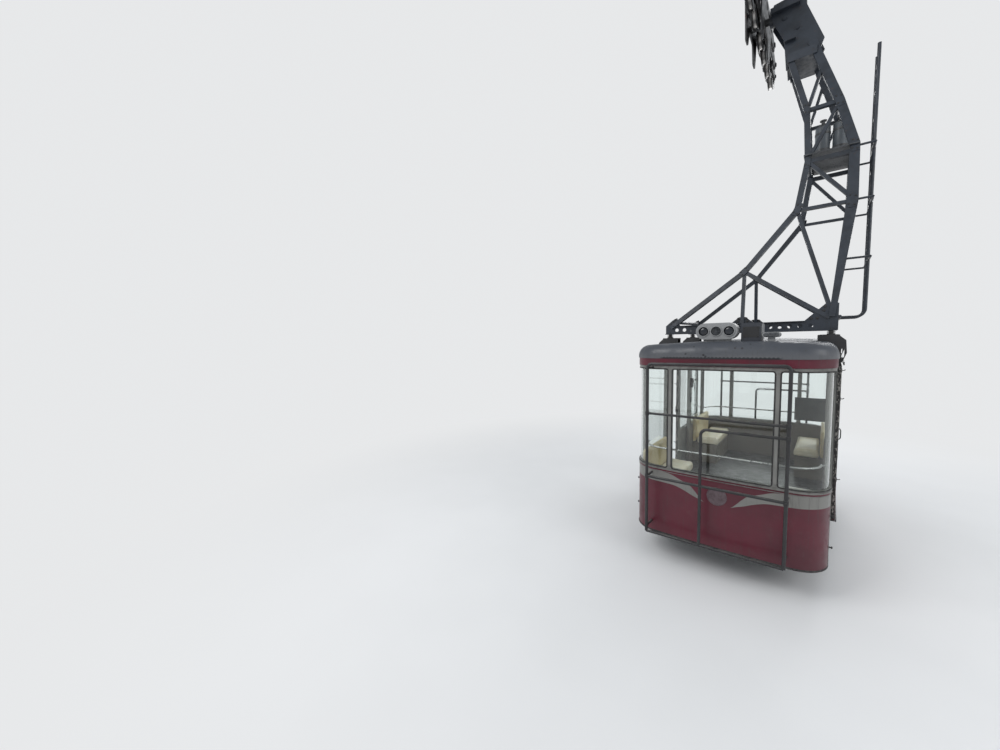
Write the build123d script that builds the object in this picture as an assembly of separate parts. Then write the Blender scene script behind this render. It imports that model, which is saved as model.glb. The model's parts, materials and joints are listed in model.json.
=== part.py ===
from build123d import *
import math
import os

# A cable car cabin with its hanger and its rope carriage, in millimetres.
# X runs across the cabin, and the hanger's tall column stands on the +X side.
# Y runs along the rope, with the near end at -Y, and Z is up.
# The origin is on top of the track rope, midway between the carriage wheels.

os.makedirs("parts", exist_ok=True)

# Heights, counted down from the track rope
ROPE_TO_ROOF = 4000
ROOF_TO_FLOOR = 2100
SKIRT_DROP = 190
roof_top = -ROPE_TO_ROOF
floor_top = roof_top - ROOF_TO_FLOOR
skirt_bottom = floor_top - SKIRT_DROP
sill_top = floor_top + 600
glass_top = floor_top + 1790
band_bottom = floor_top + 1830
band_top = floor_top + 1916

# Cabin plan
CABIN_W = 1900
CABIN_L = 3750
CORNER_R = 300
END_BOW = 45
WALL = 40
ROOF_OVERHANG = 15
ROOF_CROWN = 40
ROOF_SHOULDER = 130
half_w = CABIN_W / 2
half_l = CABIN_L / 2
bow_r = (half_w**2 + END_BOW**2) / (2 * END_BOW)
corner_end = half_l - CORNER_R - 80

# Windows and doorways
MULLION_X = 510
MULLION_W = 55
SILL_H = 35
PANE_R = 70
GLASS = 6
GLASS_INSET = 17
DOORWAY = 1100
POST_W = 120
pane_bottom = sill_top + SILL_H
side_pane_end = corner_end - 60
side_pane_start = DOORWAY / 2 + POST_W

# Sliding doors
LEAF_L = 1200
LEAF_T = 36
LEAF_GAP = 14
LEAF_OPEN = 710
LEAF_TRAVEL = 1080
leaf_in = half_w + LEAF_GAP
leaf_out = leaf_in + LEAF_T
leaf_bottom = floor_top - 50
leaf_top = glass_top - 6

# Hanger, with heights counted up from the roof's top
FRAME_Y = 600
BEAM_H = (95, 215)
FRAME_LEAN = 6.95
CHORD_W = 60
MEMBER_D = 60
PIN_Z = 130
PIN_R = 45

# Carriage
WHEEL_R = 140
FLANGE_R = 170
WHEEL_W = 66
AXLE_R = 25
AXLE_GAP = 0.05
WHEEL_PITCH = 380
WHEEL_COUNT = 8
CENTRE_GAP = 140
ROCKER_T = 14
FRAME_T = 16
half_row = [CENTRE_GAP / 2 + WHEEL_PITCH * (i + 0.5) for i in range(WHEEL_COUNT // 2)]
wheel_y = [-y for y in reversed(half_row)] + half_row
small_y = [(wheel_y[i] + wheel_y[i + 1]) / 2 for i in range(0, WHEEL_COUNT, 2)]
large_y = [(small_y[0] + small_y[1]) / 2, (small_y[2] + small_y[3]) / 2]

made = []


def save(name, shape):
    """Write one named sub-part."""
    made.append(name)
    export_step(shape, f"parts/{name}.step")
    return shape


def block(x0, x1, y0, y1, z0, z1):
    """A box between two corners."""
    return Pos((x0 + x1) / 2, (y0 + y1) / 2, (z0 + z1) / 2) * Box(x1 - x0, y1 - y0, z1 - z0)


def rod_x(x0, x1, y, z, r):
    """A round bar along X."""
    return Pos((x0 + x1) / 2, y, z) * Rot(0, 90, 0) * Cylinder(r, x1 - x0)


def rod_y(x, y0, y1, z, r):
    """A round bar along Y."""
    return Pos(x, (y0 + y1) / 2, z) * Rot(90, 0, 0) * Cylinder(r, y1 - y0)


def rod_z(x, y, z0, z1, r):
    """A round bar along Z."""
    return Pos(x, y, (z0 + z1) / 2) * Cylinder(r, z1 - z0)


def group(*shapes):
    """Several solids, kept apart, as one sub-part."""
    return Compound(children=[s for shape in shapes for s in shape.solids()])


def plan(inset=0.0):
    """The cabin's outline seen from above: bowed ends and round corners."""
    shape = Rectangle(2 * (half_w - inset), 2 * (half_l - inset))
    for side in (-1, 1):
        centre = side * (half_l - bow_r)
        shape &= Pos(0, centre) * Circle(bow_r - inset)
    return fillet(shape.vertices(), CORNER_R - inset)


def ring(z0, z1, outer=0.0, inner=WALL):
    """A wall that follows the cabin's outline between two heights."""
    return extrude(Pos(0, 0, z0) * (plan(outer) - plan(inner)), z1 - z0)


def window_x(y0, y1, z0, z1, radius=PANE_R):
    """A round-cornered cutter that runs along X."""
    sketch = Pos((y0 + y1) / 2, (z0 + z1) / 2) * RectangleRounded(y1 - y0, z1 - z0, radius)
    return extrude(Plane.YZ * sketch, 1300, both=True)


def window_y(x0, x1, z0, z1, radius=PANE_R):
    """A round-cornered cutter that runs along Y."""
    sketch = Pos((x0 + x1) / 2, (z0 + z1) / 2) * RectangleRounded(x1 - x0, z1 - z0, radius)
    return extrude(Plane.XZ * sketch, 2300, both=True)


def strip(p, q, w0, w1=None):
    """A flat bar's outline between two points, w0 wide at p and w1 at q."""
    w1 = w0 if w1 is None else w1
    length = math.hypot(q[0] - p[0], q[1] - p[1])
    nx = (q[1] - p[1]) / length
    nz = -(q[0] - p[0]) / length
    corners = [
        (p[0] - nx * w0 / 2, p[1] - nz * w0 / 2),
        (p[0] + nx * w0 / 2, p[1] + nz * w0 / 2),
        (q[0] + nx * w1 / 2, q[1] + nz * w1 / 2),
        (q[0] - nx * w1 / 2, q[1] - nz * w1 / 2),
    ]
    return Polygon(*corners, align=None)


def plate_xz(sketch, y0, y1):
    """A plate cut to an X-Z outline, between two Y values."""
    return Pos(0, (y0 + y1) / 2, 0) * extrude(Plane.XZ * sketch, (y1 - y0) / 2, both=True)


def plate_yz(sketch, x0, x1):
    """A plate cut to a Y-Z outline, between two X values."""
    return Pos((x0 + x1) / 2, 0, 0) * extrude(Plane.YZ * sketch, (x1 - x0) / 2, both=True)


def mirror_x(shape):
    """The same shape on the other side of the cabin."""
    return mirror(shape, about=Plane.YZ)


def mirror_y(shape):
    """The same shape at the other end of the cabin."""
    return mirror(shape, about=Plane.XZ)


# Cabin shell

body_wall = ring(skirt_bottom, sill_top)
end_region = block(-1200, 1200, -2100, -corner_end, skirt_bottom, band_bottom)
side_region = block(0, 1200, -corner_end, -DOORWAY / 2, skirt_bottom, band_bottom)
lower_near = body_wall & end_region
save("end_panel_near", lower_near)
save("end_panel_far", mirror_y(lower_near))
lower_side = body_wall & side_region
for side, turn in (("right", lambda s: s), ("left", mirror_x)):
    save(f"side_panels_{side}", group(turn(lower_side), turn(mirror_y(lower_side))))

upper_wall = ring(sill_top, band_bottom)
inner_x = MULLION_X - MULLION_W / 2
outer_x = MULLION_X + MULLION_W / 2
centre_hole = window_y(-inner_x, inner_x, pane_bottom, glass_top, 20)
corner_hole = window_y(outer_x, 1500, pane_bottom, glass_top, 20)
corner_hole &= window_x(-2300, -(corner_end + 20), pane_bottom, glass_top)
corner_hole &= block(0, 1500, -2300, -corner_end, floor_top, band_top)
near_half = block(-1200, 1200, -2100, 0, floor_top, band_top)
end_holes = [centre_hole & near_half, corner_hole, mirror_x(corner_hole)]
frame_near = upper_wall & end_region
for hole in end_holes:
    frame_near -= hole
save("end_frame_near", frame_near)
save("end_frame_far", mirror_y(frame_near))
side_hole = window_x(-side_pane_end, -side_pane_start, pane_bottom, glass_top)
side_hole &= block(0, 1500, -2300, 0, floor_top, band_top)
side_frame = (upper_wall & side_region) - side_hole
header = upper_wall & block(0, 1200, -DOORWAY / 2, DOORWAY / 2, glass_top, band_bottom)
for side, turn in (("right", lambda s: s), ("left", mirror_x)):
    frame = turn(side_frame) + turn(mirror_y(side_frame)) + turn(header)
    save(f"side_frame_{side}", frame)

glass_ring = ring(pane_bottom - 10, glass_top + 10, GLASS_INSET, GLASS_INSET + GLASS)
end_glass = [glass_ring & hole for hole in end_holes]
save("end_glass_near", group(*end_glass))
save("end_glass_far", group(*[mirror_y(pane) for pane in end_glass]))
side_glass = glass_ring & side_hole
for side, turn in (("right", lambda s: s), ("left", mirror_x)):
    save(f"side_glass_{side}", group(turn(side_glass), turn(mirror_y(side_glass))))

save("roof_band", ring(band_bottom, band_top, -8, WALL))


def roof_form(inset):
    """The roof's solid form, drawn in all round by inset."""
    top = roof_top - inset
    crown_r = (half_w**2 + ROOF_CROWN**2) / (2 * ROOF_CROWN)
    form = extrude(Pos(0, 0, band_top) * plan(inset - ROOF_OVERHANG), top - band_top)
    form &= rod_y(0, -2100, 2100, top - crown_r, crown_r)
    rim = [e for e in form.edges() if e.bounding_box().min.Z > band_top + 20]
    return fillet(rim, ROOF_SHOULDER - inset)


roof = roof_form(0) - roof_form(WALL)
save("roof", roof)

# Floor and what is under it

floor = extrude(Pos(0, 0, floor_top - 45) * plan(WALL), 45)
save("floor", floor)
beams = [block(x - 35, x + 35, -1600, 1600, floor_top - 165, floor_top - 45) for x in (-520, 520)]
cross = [block(-880, 880, y - 30, y + 30, floor_top - 125, floor_top - 45) for y in (-1450, -600, 600, 1450)]
underframe = beams[0] + beams[1]
for bar in cross:
    underframe += bar
save("underframe", underframe)

# Sliding doors, one on each side, which both slide towards the far end

leaf_box = block(leaf_in, leaf_out, -LEAF_L / 2, LEAF_L / 2, leaf_bottom, leaf_top)
leaf_hole = window_x(-LEAF_L / 2 + 110, LEAF_L / 2 - 110, pane_bottom, glass_top - 90)
leaf_hole &= block(0, 1500, -1000, 1000, floor_top, band_top)
hangers = [block(leaf_in + 8, leaf_out - 8, y - 60, y + 60, leaf_top, leaf_top + 30) for y in (-420, 420)]
leaf = leaf_box - leaf_hole + hangers[0] + hangers[1]
leaf_glass = block(leaf_in + 15, leaf_in + 21, -600, 600, pane_bottom - 10, glass_top) & leaf_hole
open_left = Pos(0, LEAF_OPEN, 0)
save("door_right", leaf)
save("door_glass_right", leaf_glass)
save("door_left", open_left * mirror_x(leaf))
save("door_glass_left", open_left * mirror_x(leaf_glass))
rail_y = (-LEAF_L / 2 - 20, LEAF_L / 2 + LEAF_TRAVEL + 20)
rail_roof = block(half_w, leaf_out + 22, *rail_y, band_bottom - 6, band_bottom)
rail_lip = block(leaf_out + 12, leaf_out + 22, *rail_y, leaf_top + 8, band_bottom)
rail = rail_roof + rail_lip
foot_y = (-LEAF_L / 2, LEAF_L / 2 + LEAF_TRAVEL)
foot = block(half_w, leaf_out + 18, *foot_y, leaf_bottom - 16, leaf_bottom - 8)
foot += block(leaf_out + 8, leaf_out + 18, *foot_y, leaf_bottom - 16, leaf_bottom + 12)
for side, turn in (("right", lambda s: s), ("left", mirror_x)):
    save(f"door_rails_{side}", group(turn(rail), turn(foot)))

# Seats along the side walls, with one cushion missing

SEAT_H = 430
SEAT_D = 410
SEAT_Y = (-1735, -745)
CUSHION_T = 110
BACK_T = 58
SLATS = 9
seat_wall = half_w - WALL
seat_front = seat_wall - SEAT_D
cushion_top = floor_top + SEAT_H
base_top = cushion_top - CUSHION_T - 1
room = extrude(Pos(0, 0, floor_top) * plan(WALL + 2), ROOF_TO_FLOOR)
cushion = block(seat_front, seat_wall - BACK_T - 4, *SEAT_Y, base_top + 1, cushion_top) & room
back = block(seat_wall - BACK_T, seat_wall, *SEAT_Y, base_top + 1, sill_top + 145) & room
back -= block(0, seat_wall - BACK_T, *SEAT_Y, floor_top, 0)
base = block(seat_front + 30, seat_wall, SEAT_Y[0] + 20, SEAT_Y[1] - 20, floor_top, base_top) & room
slat_pitch = (SEAT_Y[1] - SEAT_Y[0] - 40) / SLATS
slatted = base - block(seat_front + 70, seat_wall - 70, -1690, -790, base_top - 40, base_top)
for i in range(SLATS):
    y = SEAT_Y[0] + 20 + slat_pitch * (i + 0.5)
    slatted += block(seat_front + 60, seat_wall - 60, y - 28, y + 28, base_top - 40, base_top) & room
seats = {
    "near_left": mirror_x,
    "far_left": lambda s: mirror_x(mirror_y(s)),
    "far_right": mirror_y,
}
save("seat_cushions", group(*[turn(cushion) for turn in seats.values()]))
save("seat_backs", group(*[turn(back) for turn in seats.values()]))
save("seat_bases", group(*[turn(base) for turn in seats.values()]))
save("seat_base_bare", slatted)

# Handrail inside each end window, and the blank board by the far right pane

RAIL_H = 830
RAIL_R = 11
RAIL_REACH = 290
BOARD_Y = 1475
rail_inset = WALL + 45


def end_rail():
    """A round bar that follows the near end's windows, with its feet on the wall."""
    path_y = half_l - rail_inset
    z = floor_top + RAIL_H
    turn = half_w - rail_inset
    line = FilletPolyline(
        (-turn, -path_y + RAIL_REACH, z),
        (-turn, -path_y + 40, z),
        (turn, -path_y + 40, z),
        (turn, -path_y + RAIL_REACH, z),
        radius=CORNER_R - 60,
    )
    bar = sweep(Plane(line @ 0, z_dir=line % 0) * Circle(RAIL_R), line)
    for x in (-MULLION_X, MULLION_X):
        bar += rod_y(x, -half_l + WALL, -path_y + 40, z, RAIL_R * 0.8)
    for side in (-1, 1):
        foot_bar = rod_x(turn, seat_wall, -path_y + RAIL_REACH - 12, z, RAIL_R * 0.8)
        bar += foot_bar if side > 0 else mirror_x(foot_bar)
    return bar


rail_near = end_rail() - frame_near
save("handrail_near", rail_near)
save("handrail_far", mirror_y(rail_near))
board = block(470, seat_wall, BOARD_Y - 5, BOARD_Y + 5, floor_top + 750, floor_top + 1125)
save("blank_board", board)

# Pipe rack outside each end

RACK_R = 17
RACK_GAP = 150
RACK_X = (-710, 620)
rack_y = -half_l - RACK_GAP
rack_top = floor_top + 1860
rack_mid = floor_top + 1290
rack_inner_top = floor_top + 1170
rack_low = floor_top + 545
rack_foot = floor_top - 120
rack_inner_x = -140


def pipe(points, r, radius):
    """A round pipe along straight runs with equal bends."""
    line = FilletPolyline(*points, radius=radius)
    return sweep(Plane(line @ 0, z_dir=line % 0) * Circle(r), line)


def pipe_rack():
    """Upright frame of bent pipe, held off the near end by short arms."""
    outer = pipe(
        [
            (RACK_X[0], rack_y, rack_foot),
            (RACK_X[0], rack_y, rack_top),
            (RACK_X[1], rack_y, rack_top),
            (RACK_X[1], rack_y, rack_foot),
        ],
        RACK_R,
        50,
    )
    inner = pipe(
        [
            (rack_inner_x, rack_y, rack_foot),
            (rack_inner_x, rack_y, rack_inner_top),
            (RACK_X[1], rack_y, rack_inner_top),
        ],
        RACK_R * 0.9,
        60,
    )
    rack = outer + inner
    rack += rod_x(RACK_X[0], RACK_X[1], rack_y, rack_mid, RACK_R * 0.8)
    rack += rod_x(RACK_X[0], RACK_X[1], rack_y, rack_low, RACK_R * 0.9)
    rack += rod_x(RACK_X[0], RACK_X[1], rack_y, rack_foot, RACK_R * 0.9)
    for z in (rack_low, rack_foot + 60):
        for x in RACK_X:
            rack += rod_y(x, rack_y, -half_l + 90, z, RACK_R * 0.8)
    for x in RACK_X:
        rack += rod_y(x, rack_y, -half_l + 90, band_bottom - 20, RACK_R * 0.8)
    return rack


rack = pipe_rack() - lower_near - frame_near
rack = max(rack.solids(), key=lambda s: s.volume)
save("pipe_rack_near", rack)
save("pipe_rack_far", mirror_y(rack))

# On the roof: lamp pod, boxes and the brackets under the hanger

crown_r = (half_w**2 + ROOF_CROWN**2) / (2 * ROOF_CROWN)


def roof_z(x):
    """Height of the roof's skin at a place across the cabin."""
    return roof_top - crown_r + math.sqrt(crown_r**2 - x**2)


POD_X = -80
POD_W = 410
POD_H = 180
POD_Y = (-half_l + 170, -half_l + 330)
pod_z = roof_top + 22 + POD_H / 2
pod = plate_xz(Pos(POD_X, pod_z) * SlotOverall(POD_W, POD_H), *POD_Y)
for x in (-125, 0, 125):
    pod -= rod_y(POD_X + x, POD_Y[0] - 10, POD_Y[0] + 40, pod_z, 52)
pod += block(POD_X - 130, POD_X + 130, POD_Y[0] + 30, POD_Y[1] - 20, roof_top - 30, pod_z)
pod -= roof
pod = max(pod.solids(), key=lambda s: s.volume)
save("lamp_pod", pod)
box_y = (POD_Y[0] + 60, POD_Y[0] + 260)
roof_box = block(150, 330, *box_y, roof_top - 30, roof_top + 190) - roof
roof_box = max(roof_box.solids(), key=lambda s: s.volume)
side_lamp = plate_xz(Pos(420, roof_top + 60) * SlotOverall(160, 56), POD_Y[0] + 40, POD_Y[0] + 140)
side_lamp += block(390, 450, POD_Y[0] + 60, POD_Y[0] + 120, roof_top - 30, roof_top + 50)
side_lamp -= roof
side_lamp = max(side_lamp.solids(), key=lambda s: s.volume)
save("roof_boxes", group(roof_box, side_lamp))

BRACKET_W = 150
BRACKET_T = 12
bracket_x = half_w - 60
bracket_top = roof_top + 30


def bracket():
    """Twin plates that climb from the side wall over the roof's shoulder."""
    outer = Polygon(
        (half_w + 2, band_bottom + 4),
        (half_w + 50, band_bottom + 4),
        (half_w + 85, band_top + 20),
        (half_w + 75, roof_top - 20),
        (half_w + 20, bracket_top),
        (half_w - 180, bracket_top),
        (half_w - 180, band_top),
        align=None,
    )
    hole = Pos(half_w + 50, band_top + 15) * SlotOverall(110, 30, rotation=90)
    plates = None
    for y in (-BRACKET_W / 2 + BRACKET_T / 2, BRACKET_W / 2 - BRACKET_T / 2):
        cut = plate_xz(outer - hole, y - BRACKET_T / 2, y + BRACKET_T / 2)
        plates = cut if plates is None else plates + cut
    plates += block(half_w - 180, half_w + 20, -BRACKET_W / 2, BRACKET_W / 2, bracket_top, bracket_top + 14)
    plates += block(half_w + 2, half_w + 18, -BRACKET_W / 2, BRACKET_W / 2, band_bottom + 4, band_top - 10)
    return plates


body_block = roof_form(0) + ring(skirt_bottom, band_top, -8, WALL)
one_bracket = bracket() - body_block
one_bracket = max(one_bracket.solids(), key=lambda s: s.volume)
rail_cut = rail + foot
brackets = []
for y in (-FRAME_Y, FRAME_Y):
    right = Pos(0, y, 0) * one_bracket - rail_cut
    right = max(right.solids(), key=lambda s: s.volume)
    brackets.append(right)
    brackets.append(mirror_x(right))
save("roof_brackets", group(*brackets))

SPRING_R = 38
spring_z = (bracket_top + 14, roof_top + BEAM_H[0])


def spring():
    """A stack of rubber discs under one end of a hanger beam."""
    z0, z1 = spring_z
    step = (z1 - z0) / 3
    stack = rod_z(0, 0, z0, z1, SPRING_R * 0.6)
    for i in range(2):
        stack += rod_z(0, 0, z0 + step * (1.2 * i + 0.2), z0 + step * (1.2 * i + 0.95), SPRING_R)
    return stack


SPRING_X = half_w - 60
springs = [Pos(x, y, 0) * spring() for x in (-SPRING_X, SPRING_X) for y in (-FRAME_Y, FRAME_Y)]
save("spring_mounts", group(*springs))

# Hanger

BEAM_X = (-950, 950)
BEND_LOW = (0, 880)
BEND_MID = (520, 1560)
BEND_HIGH = (600, 2130)
COLUMN = [(890, 250, 55), (1020, 1560, 105), (1020, 2200, 90), (870, 2760, 85), (600, 3560, 80)]
INNER = [(-880, 190, 55), (0, 880, 55), (520, 1560, 60), (600, 2130, 60), (570, 2760, 60), (380, 3460, 60)]
PLATE_T = 12


def chain_strip(rows):
    """Bars end to end, each joint rounded, from rows of x, height and width."""
    shape = None
    for (xa, za, wa), (xb, zb, wb) in zip(rows, rows[1:]):
        bar = strip((xa, za), (xb, zb), wa, wb) + Pos(xb, zb) * Circle(wb / 2)
        shape = bar if shape is None else shape + bar
    return shape


def hanger_side():
    """One upright truss, flat at Y 0, with heights counted from the roof's top."""
    chords = chain_strip(COLUMN) + chain_strip(INNER)
    web = strip(BEND_LOW, (870, 240), 45)
    web += strip(BEND_LOW, (0, 180), 40)
    web += strip(BEND_MID, (900, 260), 38)
    web += strip(BEND_MID, (1010, 1560), 36)
    web += strip(BEND_HIGH, (1010, 2130), 50)
    web += strip(BEND_HIGH, (1015, 1600), 36)
    web += strip((570, 2760), (870, 2760), 40)
    web += strip((600, 2150), (865, 2740), 32)
    web += strip((575, 2780), (700, 3250), 32)
    solid = extrude(Plane.XZ * chords, MEMBER_D / 2, both=True)
    solid += extrude(Plane.XZ * web, MEMBER_D / 2 - 8, both=True)
    return solid


def hanger_beam():
    """The perforated cross beam with its three gussets, flat at Y 0."""
    z0, z1 = BEAM_H
    face = Polygon((BEAM_X[0], z0), (BEAM_X[1], z0), (BEAM_X[1], z1), (BEAM_X[0], z1), align=None)
    face += Polygon((-950, z1), (-950, z1 - 40), (-760, z1), (-800, z1 + 110), (-860, z1 + 80), align=None)
    face += Polygon((-130, z1), (-35, z1 + 80), (35, z1 + 80), (130, z1), align=None)
    face += Polygon((640, z1), (830, z1 + 190), (950, z1 + 190), (950, z1), align=None)
    for i in range(18):
        x = -800 + 100 * i
        if abs(x) > 60 and x < 720:
            face -= Pos(x, (z0 + z1) / 2) * Circle(24)
    return extrude(Plane.XZ * face, PLATE_T / 2, both=True) + hanger_flanges(z0, z1)


def hanger_flanges(z0, z1):
    """Top and bottom flanges of the cross beam."""
    low = block(BEAM_X[0], BEAM_X[1], -35, 35, z0, z0 + 10)
    return low + block(BEAM_X[0] + 100, 640, -35, 35, z1 - 8, z1)


lean = Pos(0, 0, BEAM_H[1]) * Rot(-FRAME_LEAN, 0, 0) * Pos(0, 0, -BEAM_H[1])
half_frame = lean * hanger_side() + hanger_beam()
half_frame -= block(-2000, 2000, -600, 600, -500, BEAM_H[0])
frame_front = Pos(0, -FRAME_Y, roof_top) * half_frame
frame_back = mirror_y(frame_front)
print("frames", len(frame_front.solids()))
save("hanger_frame_near", frame_front)
save("hanger_frame_far", frame_back)


def frame_y(height):
    """Half the distance between the two trusses at a height above the roof."""
    return FRAME_Y - (height - BEAM_H[1]) * math.tan(math.radians(FRAME_LEAN))


def tie(x, height, r):
    """A cross bar between the two trusses."""
    y = frame_y(height)
    return rod_y(x, -y, y, roof_top + height, r)


frames = frame_front + frame_back
TIE_R = 22
DECK_H = 2180
tie_rows = [(0, 880), (520, 1560), (600, DECK_H - TIE_R), (1020, 1560), (1020, DECK_H - TIE_R)]
tie_rows += [(570, 2760), (870, 2760), (-800, 260), (860, 330)]
ties = []
for x, height in tie_rows:
    bar = tie(x, height, TIE_R) - frames
    ties.append(min(bar.solids(), key=lambda s: abs(s.center().Y)))
save("hanger_ties", group(*ties))

deck_y = frame_y(DECK_H) + 60
deck = block(560, 1060, -deck_y, deck_y, roof_top + DECK_H, roof_top + DECK_H + 12)
deck -= frames
deck = max(deck.solids(), key=lambda s: s.volume)
save("hanger_deck", deck)
bottles = [rod_z(x, 0, roof_top + DECK_H + 12, roof_top + DECK_H + 420, 75) for x in (720, 890)]
save("hanger_cylinders", group(*bottles))

# Head, which hangs on the carriage's pin

HEAD_X = (130, 470)
HEAD_T = 20
head_y = frame_y(3500)


def head():
    """Two cheeks that lean in over the rope to one tube round the pin."""
    h_pin = ROPE_TO_ROOF + PIN_Z
    face = Polygon(
        (330, 3380), (660, 3480), (700, 3600), (470, h_pin + 60), (380, h_pin + 110), (180, h_pin + 90), (150, h_pin - 60), (300, 3750),
        align=None,
    )
    body = None
    for side in (-1, 1):
        y = side * (head_y - MEMBER_D / 2 - HEAD_T / 2 - 30)
        cheek = plate_xz(face, y - HEAD_T / 2, y + HEAD_T / 2)
        body = cheek if body is None else body + cheek
    reach = head_y + 60
    body += block(350, 640, -reach, reach, 3400, 3500)
    body += block(300, 420, -head_y, head_y, 3700, 3720)
    body = Pos(0, 0, roof_top) * body
    body += rod_x(HEAD_X[0], HEAD_X[1], 0, PIN_Z, 85)
    body += block(HEAD_X[0] + 20, HEAD_X[1] - 20, -head_y, head_y, PIN_Z - 30, PIN_Z + 30)
    return body - rod_x(0, 600, 0, PIN_Z, PIN_R + AXLE_GAP)


head_solid = head() - frames
head_solid = max(head_solid.solids(), key=lambda s: s.volume)
save("hanger_head", head_solid)

# Ladder beside the column

LADDER_X = 1190
LADDER_W = 300
ladder_foot = 250
ladder_top = 3300
ladder = None
for side in (-1, 1):
    y = side * LADDER_W / 2
    z0 = roof_top + ladder_foot
    rail_pipe = pipe([(960, y, z0), (LADDER_X, y, z0), (LADDER_X, y, roof_top + ladder_top)], 17, 90)
    ladder = rail_pipe if ladder is None else ladder + rail_pipe
rungs = 10
for i in range(rungs):
    z = roof_top + 450 + i * 300
    ladder += rod_y(LADDER_X, -LADDER_W / 2, LADDER_W / 2, z, 11)
for height in (900, 1560, 2170):
    reach_y = frame_y(height)
    ladder += rod_y(LADDER_X, -reach_y, reach_y, roof_top + height, 14)
    for side in (-1, 1):
        ladder += rod_x(960, LADDER_X, side * reach_y, roof_top + height, 12)
y_foot = frame_y(ladder_foot)
ladder += rod_y(960, -y_foot, y_foot, roof_top + ladder_foot, 17)
ladder -= frames
ladder = max(ladder.solids(), key=lambda s: s.volume)
save("hanger_ladder", ladder)

# Carriage: wheels, rockers and the main beam

AXLE_Z = WHEEL_R
SMALL_PIVOT_Z = AXLE_Z + 70
LARGE_PIVOT_Z = AXLE_Z + 150
small_x = WHEEL_W / 2 + 8
large_x = small_x + ROCKER_T + 3
frame_x = large_x + ROCKER_T + 3


def wheel():
    """A grooved rope wheel with a bored hub, about the X axis."""
    r = WHEEL_R
    half = WHEEL_W / 2
    profile = Polygon(
        (AXLE_R + AXLE_GAP, -half - 6), (52, -half - 6), (52, -12), (r - 42, -12), (r - 38, -half), (FLANGE_R, -half),
        (FLANGE_R, -half + 8), (r, -12), (r, 12), (FLANGE_R, half - 8), (FLANGE_R, half), (r - 38, half),
        (r - 42, 12), (52, 12), (52, half + 6), (AXLE_R + AXLE_GAP, half + 6),
        align=None,
    )
    disc = revolve(Plane.XZ * profile, Axis.Z)
    for i in range(6):
        disc -= Rot(0, 0, 60 * i) * Pos(78, 0, 0) * Cylinder(15, 60)
    return Rot(0, 90, 0) * disc


one_wheel = wheel()
for i, y in enumerate(wheel_y):
    save(f"wheel_{i + 1}", Pos(0, y, AXLE_Z) * one_wheel)


def rocker(half_span, end_z, pivot_z, x0, thick, drop):
    """A pair of balance plates about Y 0, with end pins along X."""
    outline = Polygon(
        (-half_span - 45, end_z - drop), (half_span + 45, end_z - drop), (half_span + 45, end_z + 35),
        (70, pivot_z + 60), (-70, pivot_z + 60), (-half_span - 45, end_z + 35),
        align=None,
    )
    outline = fillet(outline.vertices(), 22)
    return outline


def plates(outline, x0, thick):
    """The same plate on both sides of the rope."""
    return plate_yz(outline, x0, x0 + thick) + plate_yz(outline, -x0 - thick, -x0)


small_outline = rocker(WHEEL_PITCH / 2, AXLE_Z, SMALL_PIVOT_Z, small_x, ROCKER_T, 45)
small = plates(small_outline, small_x, ROCKER_T)
for y in (-WHEEL_PITCH / 2, WHEEL_PITCH / 2):
    small += rod_x(-small_x - ROCKER_T, small_x + ROCKER_T, y, AXLE_Z, AXLE_R)
small_bore = rod_x(-300, 300, 0, SMALL_PIVOT_Z, 28)
small -= small_bore
save("wheel_rockers", group(*[Pos(0, y, 0) * small for y in small_y]))

large_outline = rocker(WHEEL_PITCH, SMALL_PIVOT_Z, LARGE_PIVOT_Z, large_x, ROCKER_T, 45)
large_outline -= Pos(-190, SMALL_PIVOT_Z + 20) * Circle(30)
large_outline -= Pos(190, SMALL_PIVOT_Z + 20) * Circle(30)
large = plates(large_outline, large_x, ROCKER_T)
for y in (-WHEEL_PITCH, WHEEL_PITCH):
    large += rod_x(-large_x - ROCKER_T, large_x + ROCKER_T, y, SMALL_PIVOT_Z, 28)
large -= rod_x(-300, 300, 0, LARGE_PIVOT_Z, 32)
save("main_rockers", group(*[Pos(0, y, 0) * large for y in large_y]))

beam_top = LARGE_PIVOT_Z + 150
beam_end = large_y[1] + 80
HAUL_Y = 300
HAUL_Z = -150
HAUL_R = 15
beam_outline = Polygon(
    (-beam_end, LARGE_PIVOT_Z - 60), (-460, LARGE_PIVOT_Z - 60), (-370, HAUL_Z - 40), (-230, HAUL_Z - 40), (-150, 20),
    (150, 20), (230, HAUL_Z - 40), (370, HAUL_Z - 40), (460, LARGE_PIVOT_Z - 60), (beam_end, LARGE_PIVOT_Z - 60),
    (beam_end, LARGE_PIVOT_Z + 50), (300, beam_top), (-300, beam_top), (-beam_end, LARGE_PIVOT_Z + 50),
    align=None,
)
beam_outline = fillet(beam_outline.vertices(), 35)
for y, z, r in ((-480, 320, 50), (480, 320, 50), (-200, 340, 50), (200, 340, 50), (0, 340, 50)):
    beam_outline -= Pos(y, z) * Circle(r)
for y in (-HAUL_Y, HAUL_Y):
    beam_outline -= Pos(y, HAUL_Z) * Circle(HAUL_R)
main = plates(beam_outline, frame_x, FRAME_T)
for y in large_y:
    main += rod_x(-frame_x - FRAME_T, frame_x + FRAME_T, y, LARGE_PIVOT_Z, 32)
for y in (-100, 100):
    main += rod_x(-frame_x, frame_x, y, beam_top - 40, 24)
main += rod_x(-frame_x - 40, HEAD_X[1] + 12, 0, PIN_Z, PIN_R)
main += rod_x(HEAD_X[1] + 12, HEAD_X[1] + 40, 0, PIN_Z, PIN_R + 30)
save("main_beam", main)
print(len(made), "sub-parts")
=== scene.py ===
import json
import math

import bmesh
import bpy
from mathutils import Matrix, Vector, noise


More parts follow.
